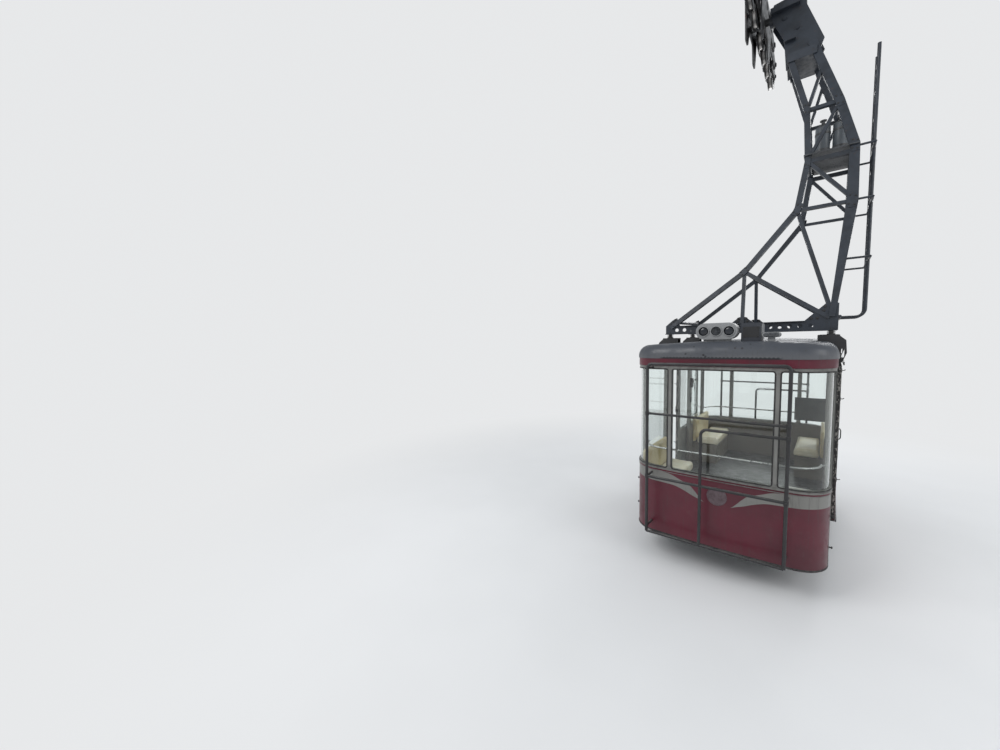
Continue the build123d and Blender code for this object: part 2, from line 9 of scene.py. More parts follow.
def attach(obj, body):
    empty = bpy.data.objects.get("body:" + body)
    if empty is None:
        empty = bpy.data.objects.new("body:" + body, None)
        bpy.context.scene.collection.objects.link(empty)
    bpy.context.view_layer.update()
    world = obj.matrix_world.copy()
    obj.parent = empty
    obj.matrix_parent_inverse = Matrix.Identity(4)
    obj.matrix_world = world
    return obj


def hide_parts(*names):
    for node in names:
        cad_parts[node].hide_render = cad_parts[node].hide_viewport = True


# A cable car cabin, its hanger and its rope carriage, in metres.
# X runs across the cabin, Y along the rope with the near end at -Y, and Z is up from the track rope.

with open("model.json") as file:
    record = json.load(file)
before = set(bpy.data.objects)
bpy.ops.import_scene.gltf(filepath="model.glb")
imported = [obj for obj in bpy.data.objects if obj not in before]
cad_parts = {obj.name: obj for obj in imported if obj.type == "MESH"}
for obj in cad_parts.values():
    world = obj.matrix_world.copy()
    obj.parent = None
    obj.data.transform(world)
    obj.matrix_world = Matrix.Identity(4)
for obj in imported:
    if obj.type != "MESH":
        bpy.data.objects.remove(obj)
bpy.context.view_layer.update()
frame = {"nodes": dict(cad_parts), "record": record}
scene = bpy.context.scene

# Places that the looks share with the construction
HALF_W = 0.950
HALF_L = 1.875
CORNER_R = 0.300
END_BOW = 0.045
WALL = 0.040
INSIDE = HALF_W - WALL
ROOF_TOP = -4.0
ROOF_CROWN = 0.040
FLOOR_TOP = -6.1
SKIRT_BOTTOM = FLOOR_TOP - 0.19
SILL_TOP = FLOOR_TOP + 0.600
PANE_BOTTOM = FLOOR_TOP + 0.635
GLASS_TOP = FLOOR_TOP + 1.790
BAND_BOTTOM = FLOOR_TOP + 1.830
BAND_TOP = FLOOR_TOP + 1.916
DOORWAY = 0.55
LEAF_OUT = HALF_W + 0.050
LEAF_OPEN = 0.71
FRAME_Y = 0.600
BEAM_TOP = 0.215
FRAME_LEAN = math.radians(6.95)
CUSHION_LOW = FLOOR_TOP + 0.320
WHEELS_Y = (0.26, 0.64, 1.02, 1.40)
WHEEL_PITCH = 0.38
WHEEL_Z = 0.14
GROUND = -6.62

UP = (0, 0, 1)
RIGHT = (1, 0, 0)
NEAR = (0, -1, 0)

# Camera, as the photograph's perspective gives it
CAMERA_AT = Vector((0.898, -6.575, -3.938))
CAMERA_RIGHT = Vector((0.76692, 0.64130, -0.02399))
CAMERA_UP = Vector((-0.03668, 0.08113, 0.99603))
FOCAL_PIXELS = 395.0
PHOTO_WIDTH = 1000.0
SENSOR = 36.0


def placed(name, data):
    """A new object in the scene."""
    obj = bpy.data.objects.new(name, data)
    scene.collection.objects.link(obj)
    return obj


def add_camera():
    """The camera at the photograph's place and angle."""
    data = bpy.data.cameras.new("photo_camera")
    data.sensor_width = SENSOR
    data.lens = FOCAL_PIXELS / PHOTO_WIDTH * SENSOR
    data.clip_start = 0.05
    data.clip_end = 200
    camera = placed("photo_camera", data)
    back = CAMERA_RIGHT.cross(CAMERA_UP).normalized()
    up = back.cross(CAMERA_RIGHT).normalized()
    turn = Matrix((CAMERA_RIGHT.normalized(), up, back)).transposed()
    camera.matrix_world = Matrix.Translation(CAMERA_AT) @ turn.to_4x4()
    scene.camera = camera


add_camera()


# Materials


class Tree:
    """A node tree, with short calls for its nodes and links."""

    def __init__(self, tree):
        self.tree = tree
        tree.nodes.clear()

    def new(self, kind):
        """A node of a kind."""
        return self.tree.nodes.new("ShaderNode" + kind)

    def put(self, socket, value):
        """Set a socket to a number or colour, or link it."""
        if isinstance(value, bpy.types.NodeSocket):
            self.tree.links.new(value, socket)
        elif isinstance(value, tuple) and len(value) == 3 and socket.type == "RGBA":
            socket.default_value = (*value, 1.0)
        else:
            socket.default_value = value

    def feed(self, node, *values, **named):
        """Give a node's first inputs and its named ones their values, and return its first output."""
        for socket, value in zip(node.inputs, values):
            self.put(socket, value)
        for name, value in named.items():
            self.put(node.inputs[name], value)
        return node.outputs[0]

    def math(self, kind, a, b=0.0, c=0.0):
        """A Math node."""
        node = self.new("Math")
        node.operation = kind
        return self.feed(node, a, b, c)

    def rays(self, *kinds):
        """1 for rays of these kinds, and 0 for the others."""
        path = self.new("LightPath")
        seen, *others = (path.outputs[f"Is {kind} Ray"] for kind in kinds)
        for other in others:
            seen = self.math("MAXIMUM", seen, other)
        return seen

    def plain(self, kind, *values):
        """A shader of one colour, with a strength where it has one."""
        return self.feed(self.new(kind), *values)

    def blend(self, amount, a, b):
        """A shader between two others."""
        return self.feed(self.new("MixShader"), amount, a, b)


class Graph(Tree):
    """A material's node tree, with short calls for what the finishes use."""

    def __init__(self, name):
        self.mat = bpy.data.materials.new(name)
        self.mat.use_nodes = True
        super().__init__(self.mat.node_tree)
        self.out = self.new("OutputMaterial").inputs[0]
        self.shader = self.new("BsdfPrincipled")
        self.put(self.out, self.shader.outputs[0])
        self.coords = self.new("TexCoord")
        self.place = self.coords.outputs["Object"]
        self.x, self.y, self.z = self.split(self.place)

    def split(self, vector):
        """The three parts of a vector."""
        node = self.new("SeparateXYZ")
        self.feed(node, vector)
        return node.outputs[:]

    def set(self, name, value):
        """Set one of the shader's own sockets."""
        self.put(self.shader.inputs[name], value)

    def times(self, a, b):
        """The product of two values."""
        return self.math("MULTIPLY", a, b)

    def size(self, value):
        """A value without its sign."""
        return self.math("ABSOLUTE", value)

    def over(self, level):
        """The height over a level."""
        return self.math("SUBTRACT", self.z, level)

    def mix(self, amount, a, b):
        """Blend two colours."""
        node = self.new("Mix")
        node.data_type = "RGBA"
        for i, value in ((0, amount), (6, a), (7, b)):
            self.put(node.inputs[i], value)
        return node.outputs[2]

    def stretch(self, sx, sy, sz):
        """The object's place, scaled along each axis."""
        return self.feed(self.new("Mapping"), self.place, Scale=(sx, sy, sz))

    def noise(self, scale, detail=3.0, rough=0.55, at=None):
        """Cloudy noise from 0 to 1."""
        node = self.new("TexNoise")
        return self.feed(node, at or self.place, Scale=scale, Detail=detail, Roughness=rough)

    def patches(self, scale, detail=4, rough=0.55, at=None):
        """Soft patches from 0 to 1."""
        return self.span(self.noise(scale, detail, rough, at), 0.35, 0.7)

    def patchy(self, scale, a, b, detail=4):
        """Two colours in soft patches."""
        return self.mix(self.patches(scale, detail), a, b)

    def cells(self, scale, at=None):
        """Distance to scattered points."""
        return self.feed(self.new("TexVoronoi"), at or self.place, Scale=scale)

    def span(self, value, low, high, to_low=0.0, to_high=1.0):
        """Map a range smoothly, held at its ends."""
        node = self.new("MapRange")
        node.interpolation_type = "SMOOTHSTEP"
        return self.feed(node, value, low, high, to_low, to_high)

    def below(self, value, low, high):
        """1 under a range, 0 over it."""
        return self.span(value, low, high, 1.0, 0.0)

    def curve(self, value, points):
        """A smooth curve through points."""
        node = self.new("FloatCurve")
        self.put(node.inputs["Value"], value)
        line = node.mapping.curves[0]
        line.points[0].location = points[0]
        line.points[1].location = points[-1]
        for point in points[1:-1]:
            line.points.new(*point)
        node.mapping.update()
        return node.outputs[0]

    def inward(self):
        """1 on faces that look into the cabin, 0 on its outside."""
        nx, ny, _ = self.split(self.coords.outputs["Normal"])
        facing = self.math("MULTIPLY_ADD", nx, self.x, self.times(ny, self.y))
        return self.below(facing, -0.4, -0.2)

    def upward(self):
        """How much a face looks up."""
        return self.split(self.coords.outputs["Normal"])[2]

    def gloss(self, scale, low, high, detail=4, top=0.75):
        """Set the roughness, in clouds between two values."""
        self.set("Roughness", self.span(self.noise(scale, detail), 0.3, top, low, high))

    def bump(self, height, strength, distance):
        """Surface relief."""
        node = self.new("Bump")
        self.set("Normal", self.feed(node, Strength=strength, Distance=distance, Height=height))

    def done(self, colour, gloss, relief):
        """The material, given its colour and what the gloss and bump calls take."""
        self.set("Base Color", colour)
        self.gloss(*gloss)
        self.bump(*relief)
        return self.mat


def dim(colour, share):
    """A colour times a share."""
    return tuple(c * share for c in colour)


def weather(g, base, dust, dirt, streaks):
    """Fading, dust in clouds and streaks that run down, over a base colour."""
    cloud = g.span(g.noise(7, 6, 0.7), 0.5, 0.82)
    base = g.mix(g.times(cloud, dirt), base, dust)
    run = g.span(g.noise(5, 5, 0.6, g.stretch(9, 9, 0.7)), 0.52, 0.75)
    return g.mix(g.times(run, streaks), base, dim(dust, 0.35))


def worn_paint(name, colour, shade=0.8, dust=(0.22, 0.21, 0.195), dirt=0.3):
    """Old coach paint: cloudy fading, fine dust and a slight orange-peel relief."""
    g = Graph(name)
    base = g.patchy(2.3, colour, dim(colour, shade))
    return g.done(weather(g, base, dust, dirt, 0.25), (14, 0.34, 0.56), (g.noise(160, 2), 0.12, 0.002))


# Each fresh colour with its faded one; the reds and greys are darker than the real paints, as painted shade
# over their own colour
REDS = (0.100, 0.006, 0.019), (0.068, 0.005, 0.014)
GREYS = (0.215, 0.212, 0.200), (0.155, 0.154, 0.146)
LINING = (0.17, 0.152, 0.137)
# The grey stripe's top and bottom edges: place across, height over the floor
STRIPE_TOP = [(0, 0.287), (0.127, 0.321), (0.185, 0.375), (0.229, 0.427), (0.292, 0.485), (0.351, 0.509),
              (0.409, 0.532), (0.487, 0.563), (0.565, 0.575), (0.682, 0.578), (1, 0.578)]
STRIPE_LOW = [(0, 0.306), (0.127, 0.318), (0.195, 0.344), (0.263, 0.369), (0.326, 0.398), (0.39, 0.421),
              (0.448, 0.436), (0.536, 0.443), (0.643, 0.446), (0.779, 0.452), (1, 0.457)]


def body_paint():
    """Crimson panels with the pale stripe that swoops down on each end, and a plain lining inside."""
    g = Graph("body_paint")
    across = g.size(g.x)
    height = g.over(FLOOR_TOP)
    under = g.span(g.math("SUBTRACT", g.curve(across, STRIPE_TOP), height), 0.0, 0.004)
    over = g.span(g.math("SUBTRACT", height, g.curve(across, STRIPE_LOW)), 0.0, 0.004)
    red = g.patchy(1.8, *REDS)
    paint = g.mix(g.times(under, over), red, g.mix(g.noise(3, 3), (0.165, 0.163, 0.150), GREYS[0]))
    chips = g.below(g.cells(55, g.stretch(1, 1, 0.6)), 0.05, 0.11)
    chips = g.times(chips, g.span(g.noise(4, 4), 0.56, 0.64))
    paint = g.mix(chips, paint, (0.05, 0.042, 0.040))
    base = g.mix(g.inward(), weather(g, paint, (0.13, 0.10, 0.095), 0.14, 0.3), LINING)
    g.set("Coat Weight", 0.1)
    g.set("Coat Roughness", 0.2)
    return g.done(base, (12, 0.32, 0.50), (g.noise(140, 2), 0.1, 0.002))


def door_paint():
    """A leaf in the body's colours: grey over the sill, and crimson with the same stripe under it."""
    g = Graph("door_paint")
    height = g.over(FLOOR_TOP)
    red = g.patchy(1.8, *REDS)
    grey = g.patchy(3.1, *GREYS)
    low_edge, top_edge, sill = STRIPE_LOW[-1][1], STRIPE_TOP[-1][1], SILL_TOP - FLOOR_TOP
    low = g.below(height, low_edge - 0.001, low_edge + 0.001)
    thin = g.below(height, sill - 0.001, sill + 0.001)
    thin = g.times(g.span(height, top_edge - 0.001, top_edge + 0.001), thin)
    outer = g.span(g.size(g.x), LEAF_OUT - 0.030, LEAF_OUT - 0.028)
    paint = g.mix(g.times(g.math("MAXIMUM", low, thin), outer), grey, red)
    base = weather(g, paint, (0.15, 0.13, 0.12), 0.2, 0.35)
    return g.done(base, (12, 0.32, 0.52), (g.noise(140, 2), 0.12, 0.002))


def roof_box_paint():
    """The dark box and, to its right, the small lamp's pale housing."""
    g = Graph("roof_box_paint")
    base = g.mix(g.span(g.x, 0.333, 0.337), (0.030, 0.034, 0.044), (0.24, 0.245, 0.25))
    base = weather(g, base, (0.16, 0.155, 0.15), 0.2, 0.3)
    return g.done(base, (14, 0.35, 0.56), (g.noise(150, 2), 0.12, 0.002))


def slat_paint():
    """White slats, rubbed along their grain, over brown-grey sides."""
    g = Graph("slat_paint")
    top = g.span(g.z, CUSHION_LOW - 0.020, CUSHION_LOW - 0.016)
    grain = g.patches(30, 5, 0.6, g.stretch(0.08, 1, 1))
    white = g.mix(grain, (0.64, 0.62, 0.575), (0.50, 0.475, 0.425))
    worn = g.span(g.noise(12, 6, 0.7, g.stretch(0.35, 1, 1)), 0.60, 0.70)
    white = g.mix(g.times(worn, 0.6), white, (0.20, 0.165, 0.13))
    side = g.patchy(5, (0.17, 0.145, 0.12), (0.105, 0.09, 0.075), 5)
    return g.done(g.mix(top, side, white), (14, 0.45, 0.65), (grain, 0.25, 0.001))


def band_paint():
    """The crimson band under the roof, with a plain lining inside."""
    g = Graph("band_paint")
    base = weather(g, g.patchy(3, *REDS), (0.12, 0.09, 0.09), 0.2, 0.45)
    return g.done(g.mix(g.inward(), base, LINING), (12, 0.32, 0.5), (g.noise(140, 2), 0.1, 0.002))


ROOF_SEAM_Y = 0.95
SCALLOP = 0.036
SOOT = (0.02, 0.02, 0.024)


def roof_paint():
    """Blue-grey roof, painted lighter on the eave and darker over the top as painted light and shade, with
    soot, drips, a scalloped dark line over the eave and a few dark chips.
    """
    g = Graph("roof_paint")
    height = g.over(BAND_TOP)
    # Painted light and shade: lighter on the eave, darker over the roof's top.
    base = g.mix(g.span(height, 0.0, 0.11), (0.115, 0.118, 0.127), (0.052, 0.058, 0.071))
    base = g.mix(g.times(g.span(g.noise(1.6, 5, 0.6), 0.35, 0.75), 0.6), base, (0.045, 0.050, 0.062))
    base = weather(g, base, (0.15, 0.148, 0.142), 0.3, 0.5)
    seam = g.below(g.size(g.math("SUBTRACT", g.size(g.y), ROOF_SEAM_Y)), 0.003, 0.006)
    base = g.mix(g.times(seam, 0.7), base, SOOT)
    # A scalloped dark line just over the eave, across the middle of each end.
    wave = g.size(g.math("COSINE", g.times(g.x, math.pi / SCALLOP)))
    edge = g.math("MULTIPLY_ADD", wave, 0.010, 0.012)
    scallop = g.span(g.math("SUBTRACT", edge, height), 0.0, 0.003)
    middle = g.below(g.size(g.math("ADD", g.x, 0.04)), 0.54, 0.60)
    end = g.span(g.size(g.y), 1.81, 1.83)
    base = g.mix(g.times(scallop, g.times(middle, end)), base, (0.016, 0.016, 0.020))
    chips = g.times(g.below(g.cells(19), 0.20, 0.25), g.span(g.noise(9, 2), 0.50, 0.56))
    chips = g.times(chips, g.below(g.size(g.math("ADD", g.x, 0.1)), 0.36, 0.42))
    base = g.mix(g.times(chips, end), base, SOOT)
    ceiling = g.times(g.below(g.upward(), -0.7, -0.4), g.span(height, 0.02, 0.04))
    base = g.mix(g.math("MAXIMUM", ceiling, g.inward()), base, (0.36, 0.345, 0.315))
    relief = g.math("SUBTRACT", g.times(g.noise(60, 3), 0.3), seam)
    return g.done(base, (9, 0.35, 0.62, 5), (relief, 0.3, 0.003))


def frame_paint():
    """Grey window frames, scuffed, with dark grime where they meet the glass and the sill."""
    g = Graph("frame_paint")
    base = g.patchy(3.1, *GREYS)
    height = g.over(FLOOR_TOP)
    near_glass = g.math("MAXIMUM", g.below(height, 0.640, 0.70), g.span(height, 1.74, 1.795))
    grime = g.times(near_glass, g.patches(22, 5))
    base = g.mix(g.times(grime, 0.5), base, (0.055, 0.052, 0.046))
    base = weather(g, base, (0.18, 0.17, 0.155), 0.2, 0.2)
    return g.done(base, (14, 0.34, 0.55), (g.noise(150, 2), 0.12, 0.002))


def floor_paint():
    """Dark floor sheet, walked pale along the middle, with scuffs and spots."""
    g = Graph("floor_sheet")
    walked = g.times(g.below(g.size(g.x), 0.15, 0.6), g.span(g.noise(3.2, 5, 0.65), 0.3, 0.7))
    base = g.mix(walked, (0.042, 0.042, 0.045), (0.110, 0.108, 0.108))
    scuff = g.span(g.noise(10, 6, 0.75, g.stretch(1, 0.25, 1)), 0.58, 0.74)
    base = g.mix(g.times(scuff, 0.4), base, (0.22, 0.215, 0.205))
    spots = g.below(g.cells(26), 0.06, 0.12)
    base = g.mix(g.times(spots, 0.5), base, (0.03, 0.03, 0.032))
    return g.done(base, (12, 0.38, 0.62), (g.noise(90, 3), 0.25, 0.002))


def steel_paint(name, colour, rust=0.25):
    """Dark painted steel, dusty on top, with small rust blooms."""
    g = Graph(name)
    base = g.patchy(6, colour, dim(colour, 0.6))
    dust = g.times(g.span(g.upward(), 0.4, 0.95), g.span(g.noise(11, 5), 0.3, 0.7, 0.1, 0.55))
    base = g.mix(dust, base, (0.15, 0.145, 0.135))
    bloom = g.span(g.noise(24, 6, 0.7), 0.60, 0.70)
    base = g.mix(g.times(bloom, rust), base, (0.12, 0.050, 0.022))
    return g.done(base, (18, 0.30, 0.58), (g.noise(120, 3), 0.18, 0.002))


def bare_steel():
    """Bare drawn steel with rubbed and dull places."""
    g = Graph("handrail_steel")
    colour = (0.42, 0.42, 0.41)
    g.set("Metallic", 1.0)
    base = g.mix(g.span(g.noise(9, 5), 0.4, 0.7), colour, dim(colour, 0.6))
    return g.done(base, (20, 0.22, 0.5), (g.noise(200, 2), 0.1, 0.001))


def carriage_iron():
    """Greasy iron, with the wheels' grooves rubbed bright."""
    g = Graph("carriage_iron")
    base = g.patchy(7, (0.045, 0.047, 0.050), (0.022, 0.022, 0.023), 5)
    bloom = g.span(g.noise(20, 6, 0.7), 0.58, 0.70)
    base = g.mix(g.times(bloom, 0.4), base, (0.10, 0.045, 0.022))
    along = g.math("SUBTRACT", g.size(g.y), WHEELS_Y[0] - WHEEL_PITCH / 2)
    along = g.math("SUBTRACT", g.math("MODULO", along, WHEEL_PITCH), WHEEL_PITCH / 2)
    rise = g.over(WHEEL_Z)
    reach = g.math("SQRT", g.math("MULTIPLY_ADD", along, along, g.times(rise, rise)))
    rubbed = g.times(g.span(reach, 0.137, 0.139), g.below(reach, 0.150, 0.158))
    rubbed = g.times(rubbed, g.below(g.size(g.x), 0.016, 0.024))
    g.set("Metallic", g.math("MULTIPLY_ADD", rubbed, 0.6, 0.35))
    base = g.mix(rubbed, base, (0.34, 0.33, 0.32))
    return g.done(base, (12, 0.26, 0.55, 5), (g.noise(80, 4), 0.3, 0.002))


def door_edge_rubber():
    """Black edge rubber whose white paint has mostly flaked off."""
    g = Graph("door_edge_rubber")
    flakes = g.span(g.noise(60, 4, 0.7, g.stretch(1, 1, 0.45)), 0.54, 0.58)
    g.set("Base Color", g.mix(flakes, (0.022, 0.021, 0.021), (0.33, 0.31, 0.29)))
    g.set("Roughness", g.span(flakes, 0.0, 1.0, 0.55, 0.75))
    g.bump(g.noise(90, 3), 0.4, 0.002)
    return g.mat


def black_rubber():
    """Matt black rubber, greyed by age."""
    g = Graph("black_rubber")
    base = g.mix(g.span(g.noise(30, 4), 0.4, 0.7), (0.017, 0.017, 0.018), (0.05, 0.048, 0.045))
    return g.done(base, (20, 0.5, 0.75, 3, 0.7), (g.noise(180, 2), 0.2, 0.001))


def vinyl(name, colour, aged):
    """Cream seat vinyl: fine grain, soft creases, yellowing and rubbed grime."""
    g = Graph(name)
    grime = g.span(g.noise(11, 6, 0.7), 0.55, 0.78)
    base = g.mix(g.times(grime, 0.35), g.patchy(4, colour, aged), (0.27, 0.21, 0.12))
    g.set("Coat Weight", 0.12)
    g.set("Sheen Weight", 0.05)
    creases = g.span(g.noise(15, 5, 0.6, g.stretch(1.6, 0.6, 1)), 0.42, 0.62)
    relief = g.math("MULTIPLY_ADD", g.cells(420), 0.25, creases)
    return g.done(base, (16, 0.36, 0.56), (relief, 0.35, 0.003))


def checker_plate():
    """Deck plate with raised diamonds."""
    g = Graph("checker_plate")
    g.set("Base Color", g.patchy(6, (0.055, 0.060, 0.066), (0.03, 0.032, 0.036), 5))
    g.set("Roughness", 0.45)
    a, b = (g.math("SINE", g.times(g.math(kind, g.x, g.y), 150)) for kind in ("ADD", "SUBTRACT"))
    g.bump(g.span(g.times(a, b), 0.3, 0.6), 0.6, 0.003)
    return g.mat


def blank_face(name, colour, faded):
    """A blank faded plate: patchy paint, with rubbed specks."""
    g = Graph(name)
    base = g.mix(g.span(g.noise(22, 6, 0.65), 0.42, 0.62), colour, faded)
    base = g.mix(g.span(g.noise(90, 4), 0.55, 0.75), base, dim(colour, 0.4))
    return g.done(base, (20, 0.4, 0.65, 4, 0.7), (g.noise(120, 3), 0.25, 0.002))


def lamp_lens(name, colour):
    """Deep lamp glass with a hard shine."""
    g = Graph(name)
    g.set("Base Color", g.mix(g.span(g.noise(40, 3), 0.4, 0.7), colour, dim(colour, 0.5)))
    g.gloss(30, 0.14, 0.26, 3, 0.7)
    g.set("Coat Weight", 0.2)
    return g.mat


def window_glass():
    """Old window glass: clear, faintly green, dusty, and letting the lamps' light through."""
    g = Graph("window_glass")
    g.set("Base Color", (0.93, 0.97, 0.96))
    g.set("Roughness", g.span(g.noise(5, 5), 0.5, 0.8, 0.01, 0.09))
    g.set("IOR", 1.45)
    g.set("Transmission Weight", 1.0)
    clear = g.plain("BsdfTransparent", (0.93, 0.96, 0.95))
    g.put(g.out, g.blend(g.rays("Shadow"), g.shader.outputs[0], clear))
    return g.mat


# Finishes by slot, by node where one has its own, and shared ones by use
materials = {
    "red_panel": body_paint(),
    "grey_frame": frame_paint(),
    "roof_skin": roof_paint(),
    "floor_cover": floor_paint(),
    "dark_steel": steel_paint("hanger_steel", (0.026, 0.033, 0.045)),
    "door_panel": door_paint(),
    "rail_steel": steel_paint("rail_steel", (0.075, 0.077, 0.080)),
    "glass": window_glass(),
    "cushion": vinyl("cream_vinyl", (0.70, 0.65, 0.52), (0.62, 0.54, 0.37)),
    "seat_base": worn_paint("base_paint", (0.17, 0.148, 0.122), 0.6, dust=(0.26, 0.24, 0.21), dirt=0.35),
    "board": blank_face("board_face", (0.070, 0.072, 0.075), (0.045, 0.046, 0.048)),
    "lamp_housing": worn_paint("lamp_housing", (0.27, 0.275, 0.28)),
    "rubber": black_rubber(),
    "carriage_steel": carriage_iron(),
    "roof_band": band_paint(),
    "underframe": steel_paint("under_steel", (0.028, 0.027, 0.027), rust=0.5),
    "hanger_deck": checker_plate(),
    "hanger_cylinders": worn_paint("bottle_paint", (0.10, 0.115, 0.13)),
    "roof_boxes": roof_box_paint(),
    "seat_base_bare": slat_paint(),
    "rack": steel_paint("rack_steel", (0.024, 0.024, 0.026)),
    "tube": bare_steel(),
    "seat_back": vinyl("back_vinyl", (0.62, 0.53, 0.33), (0.50, 0.39, 0.19)),
    "ceiling": worn_paint("ceiling_trim", (0.50, 0.48, 0.445), dust=(0.3, 0.28, 0.25)),
    "disc": blank_face("disc_face", (0.12, 0.085, 0.095), (0.080, 0.052, 0.060)),
    "door_edge": door_edge_rubber(),
    "dark_lens": lamp_lens("dark_lens", (0.010, 0.014, 0.022)),
    "ribbed_lens": lamp_lens("ribbed_lens", (0.070, 0.075, 0.082)),
}
SHARED = {"roof_brackets": "rack", "pipe_rack_near": "rack", "pipe_rack_far": "rack",
          "handrail_near": "tube", "handrail_far": "tube"}
for part in frame["record"]["subparts"]:
    node = part["node"]
    mesh = frame["nodes"][node].data
    mesh.materials.clear()
    finish = SHARED.get(node, node)
    mesh.materials.append(materials[finish if finish in materials else part["material_slot"]])


# The outline of the cabin's wall, seen from above

BOW_R = (HALF_W**2 + END_BOW**2) / (2 * END_BOW)
CORNER_X = HALF_W - CORNER_R
BOW_REACH = math.sqrt((BOW_R - CORNER_R) ** 2 - CORNER_X**2)
CORNER_Y = BOW_R - HALF_L - BOW_REACH
BOW_TURN = math.atan2(CORNER_X, BOW_REACH)
BOW_RUN = BOW_R * BOW_TURN
CORNER_RUN = BOW_RUN + CORNER_R * (math.pi / 2 - BOW_TURN)


def around(run):
    """A point of the near half's outline and its outward normal, at a run from the end's middle."""
    side = -1 if run < 0 else 1
    run = abs(run)
    if run < BOW_RUN:
        turn = run / BOW_R
        x, y = BOW_R * math.sin(turn), BOW_R - HALF_L - BOW_R * math.cos(turn)
    elif run < CORNER_RUN:
        turn = BOW_TURN + (run - BOW_RUN) / CORNER_R
        x, y = CORNER_X + CORNER_R * math.sin(turn), CORNER_Y - CORNER_R * math.cos(turn)
    else:
        turn = math.pi / 2
        x, y = HALF_W, CORNER_Y + run - CORNER_RUN
    return side * x, y, side * math.sin(turn), -math.cos(turn)


def on_wall(run, z, out):
    """A place on the wall, or out from it."""
    x, y, nx, ny = around(run)
    return Vector((x + nx * out, y + ny * out, z))


def run_at_x(x):
    """The run to a place on the end."""
    return BOW_R * math.asin(x / BOW_R)


def run_at_y(y):
    """The run to a place on the side."""
    return CORNER_RUN + y - CORNER_Y


# Mesh building

# Mirror signs in X and Y, for forms made at the near right corner
QUARTERS = [(1, 1), (-1, 1), (1, -1), (-1, -1)]
ENDS = [(1, 1), (1, -1)]
SIDES = [(1, 1), (-1, 1)]


def circle(count):
    """Cosine and sine of evenly spaced angles."""
    angles = [2 * math.pi * i / count for i in range(count)]
    return [(math.cos(angle), math.sin(angle)) for angle in angles]


class Form:
    """Vertices and faces of one piece."""

    def __init__(self):
        self.verts = []
        self.faces = []

    def add(self, verts, faces):
        """Append vertices, and faces that count from them."""
        start = len(self.verts)
        self.verts += [Vector(v) for v in verts]
        self.faces += [[start + i for i in face] for face in faces]

    def grid(self, rows, close_rows=False, close_columns=False):
        """Quads between rows of points."""
        wide = len(rows[0])
        faces = []
        for i in range(len(rows) - (not close_rows)):
            j = (i + 1) % len(rows)
            for k in range(wide - (not close_columns)):
                n = (k + 1) % wide
                faces.append([i * wide + k, i * wide + n, j * wide + n, j * wide + k])
        self.add([p for row in rows for p in row], faces)

    def capped(self, rings):
        """A closed skin over rings of points, with flat ends."""
        start = len(self.verts)
        sides = len(rings[0])
        self.grid(rings, close_columns=True)
        last = len(self.verts) - sides
        self.faces += [[*range(start, start + sides)][::-1], [*range(last, last + sides)]]

    def block(self, low, high):
        """A box, which its piece's bevel rounds."""
        xs, ys, zs = zip(low, high)
        corners = [(x, y, z) for x in xs for y in ys for z in zs]
        faces = [[0, 1, 3, 2], [4, 6, 7, 5], [0, 4, 5, 1], [2, 3, 7, 6], [0, 2, 6, 4], [1, 5, 7, 3]]
        self.add(corners, faces)

    def turned(self, at, axis, rows, sides=32):
        """A turned form from rows of distance along the axis and radius, with flat ends."""
        turn = Vector(axis).normalized().to_track_quat("Z", "Y").to_matrix()
        at = Vector(at)
        spots = circle(sides)
        self.capped([[at + turn @ Vector((r * c, r * s, along)) for c, s in spots] for along, r in rows])

    def tube(self, points, radius, sides=12):
        """A round bar along points."""
        points = [Vector(p) for p in points]
        normal = (points[1] - points[0]).orthogonal().normalized()
        rings = []
        for i, point in enumerate(points):
            ahead = points[min(i + 1, len(points) - 1)] - points[max(i - 1, 0)]
            ahead.normalize()
            normal = (normal - ahead * normal.dot(ahead)).normalized()
            other = ahead.cross(normal)
            rings.append([point + radius * (c * normal + s * other) for c, s in circle(sides)])
        self.capped(rings)

    def trim(self, path, width, height, closed=False):
        """A low moulding on the wall, along a path of run and height."""
        rows = []
        count = len(path)
        for i, (run, z) in enumerate(path):
            before = path[i - 1] if closed or i else path[i]
            after = path[(i + 1) % count] if closed or i < count - 1 else path[i]
            ds, dz = after[0] - before[0], after[1] - before[1]
            size = math.hypot(ds, dz)
            across = (-dz / size, ds / size)
            row = []
            for side, rise in ((-0.5, 0.0), (-0.34, 0.8), (0.0, 1.0), (0.34, 0.8), (0.5, 0.0)):
                offset = side * width
                row.append(on_wall(run + across[0] * offset, z + across[1] * offset, rise * height))
            rows.append(row)
        self.grid(rows, close_rows=closed)

    def copies(self, flips):
        """Repeat the whole form, mirrored in X and Y by each pair of signs."""
        verts, faces = self.verts, self.faces
        self.verts, self.faces = [], []
        for fx, fy in flips:
            turned = faces if fx * fy > 0 else [face[::-1] for face in faces]
            self.add([(fx * v.x, fy * v.y, v.z) for v in verts], turned)
        return self

    def along(self, y):
        """Shift the whole form along Y."""
        self.verts = [v + Vector((0, y, 0)) for v in self.verts]
        return self

    def piece(self, name, slot, finish=None, body="cabin", bevel=0.0, angle=35):
        """Make the mesh object, ride it and give it a finish, the slot's own unless one is named."""
        mesh = bpy.data.meshes.new(name)
        mesh.from_pydata(self.verts, [], self.faces)
        work = bmesh.new()
        work.from_mesh(mesh)
        bmesh.ops.recalc_face_normals(work, faces=work.faces)
        work.to_mesh(mesh)
        work.free()
        mesh.shade_smooth()
        mesh.set_sharp_from_angle(angle=math.radians(angle))
        mesh.materials.append(materials[finish or slot])
        obj = placed(name, mesh)
        if bevel:
            modifier = obj.modifiers.new("edges", "BEVEL")
            modifier.width = bevel
            modifier.segments = 2
            modifier.limit_method = "ANGLE"
        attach(obj, body)
        return obj


def line(start, end, step=0.03):
    """Points from one place of run and height to another, close enough to follow the wall."""
    count = max(1, math.ceil(math.dist(start, end) / step))
    return [tuple(a + (b - a) * i / count for a, b in zip(start, end)) for i in range(count + 1)]


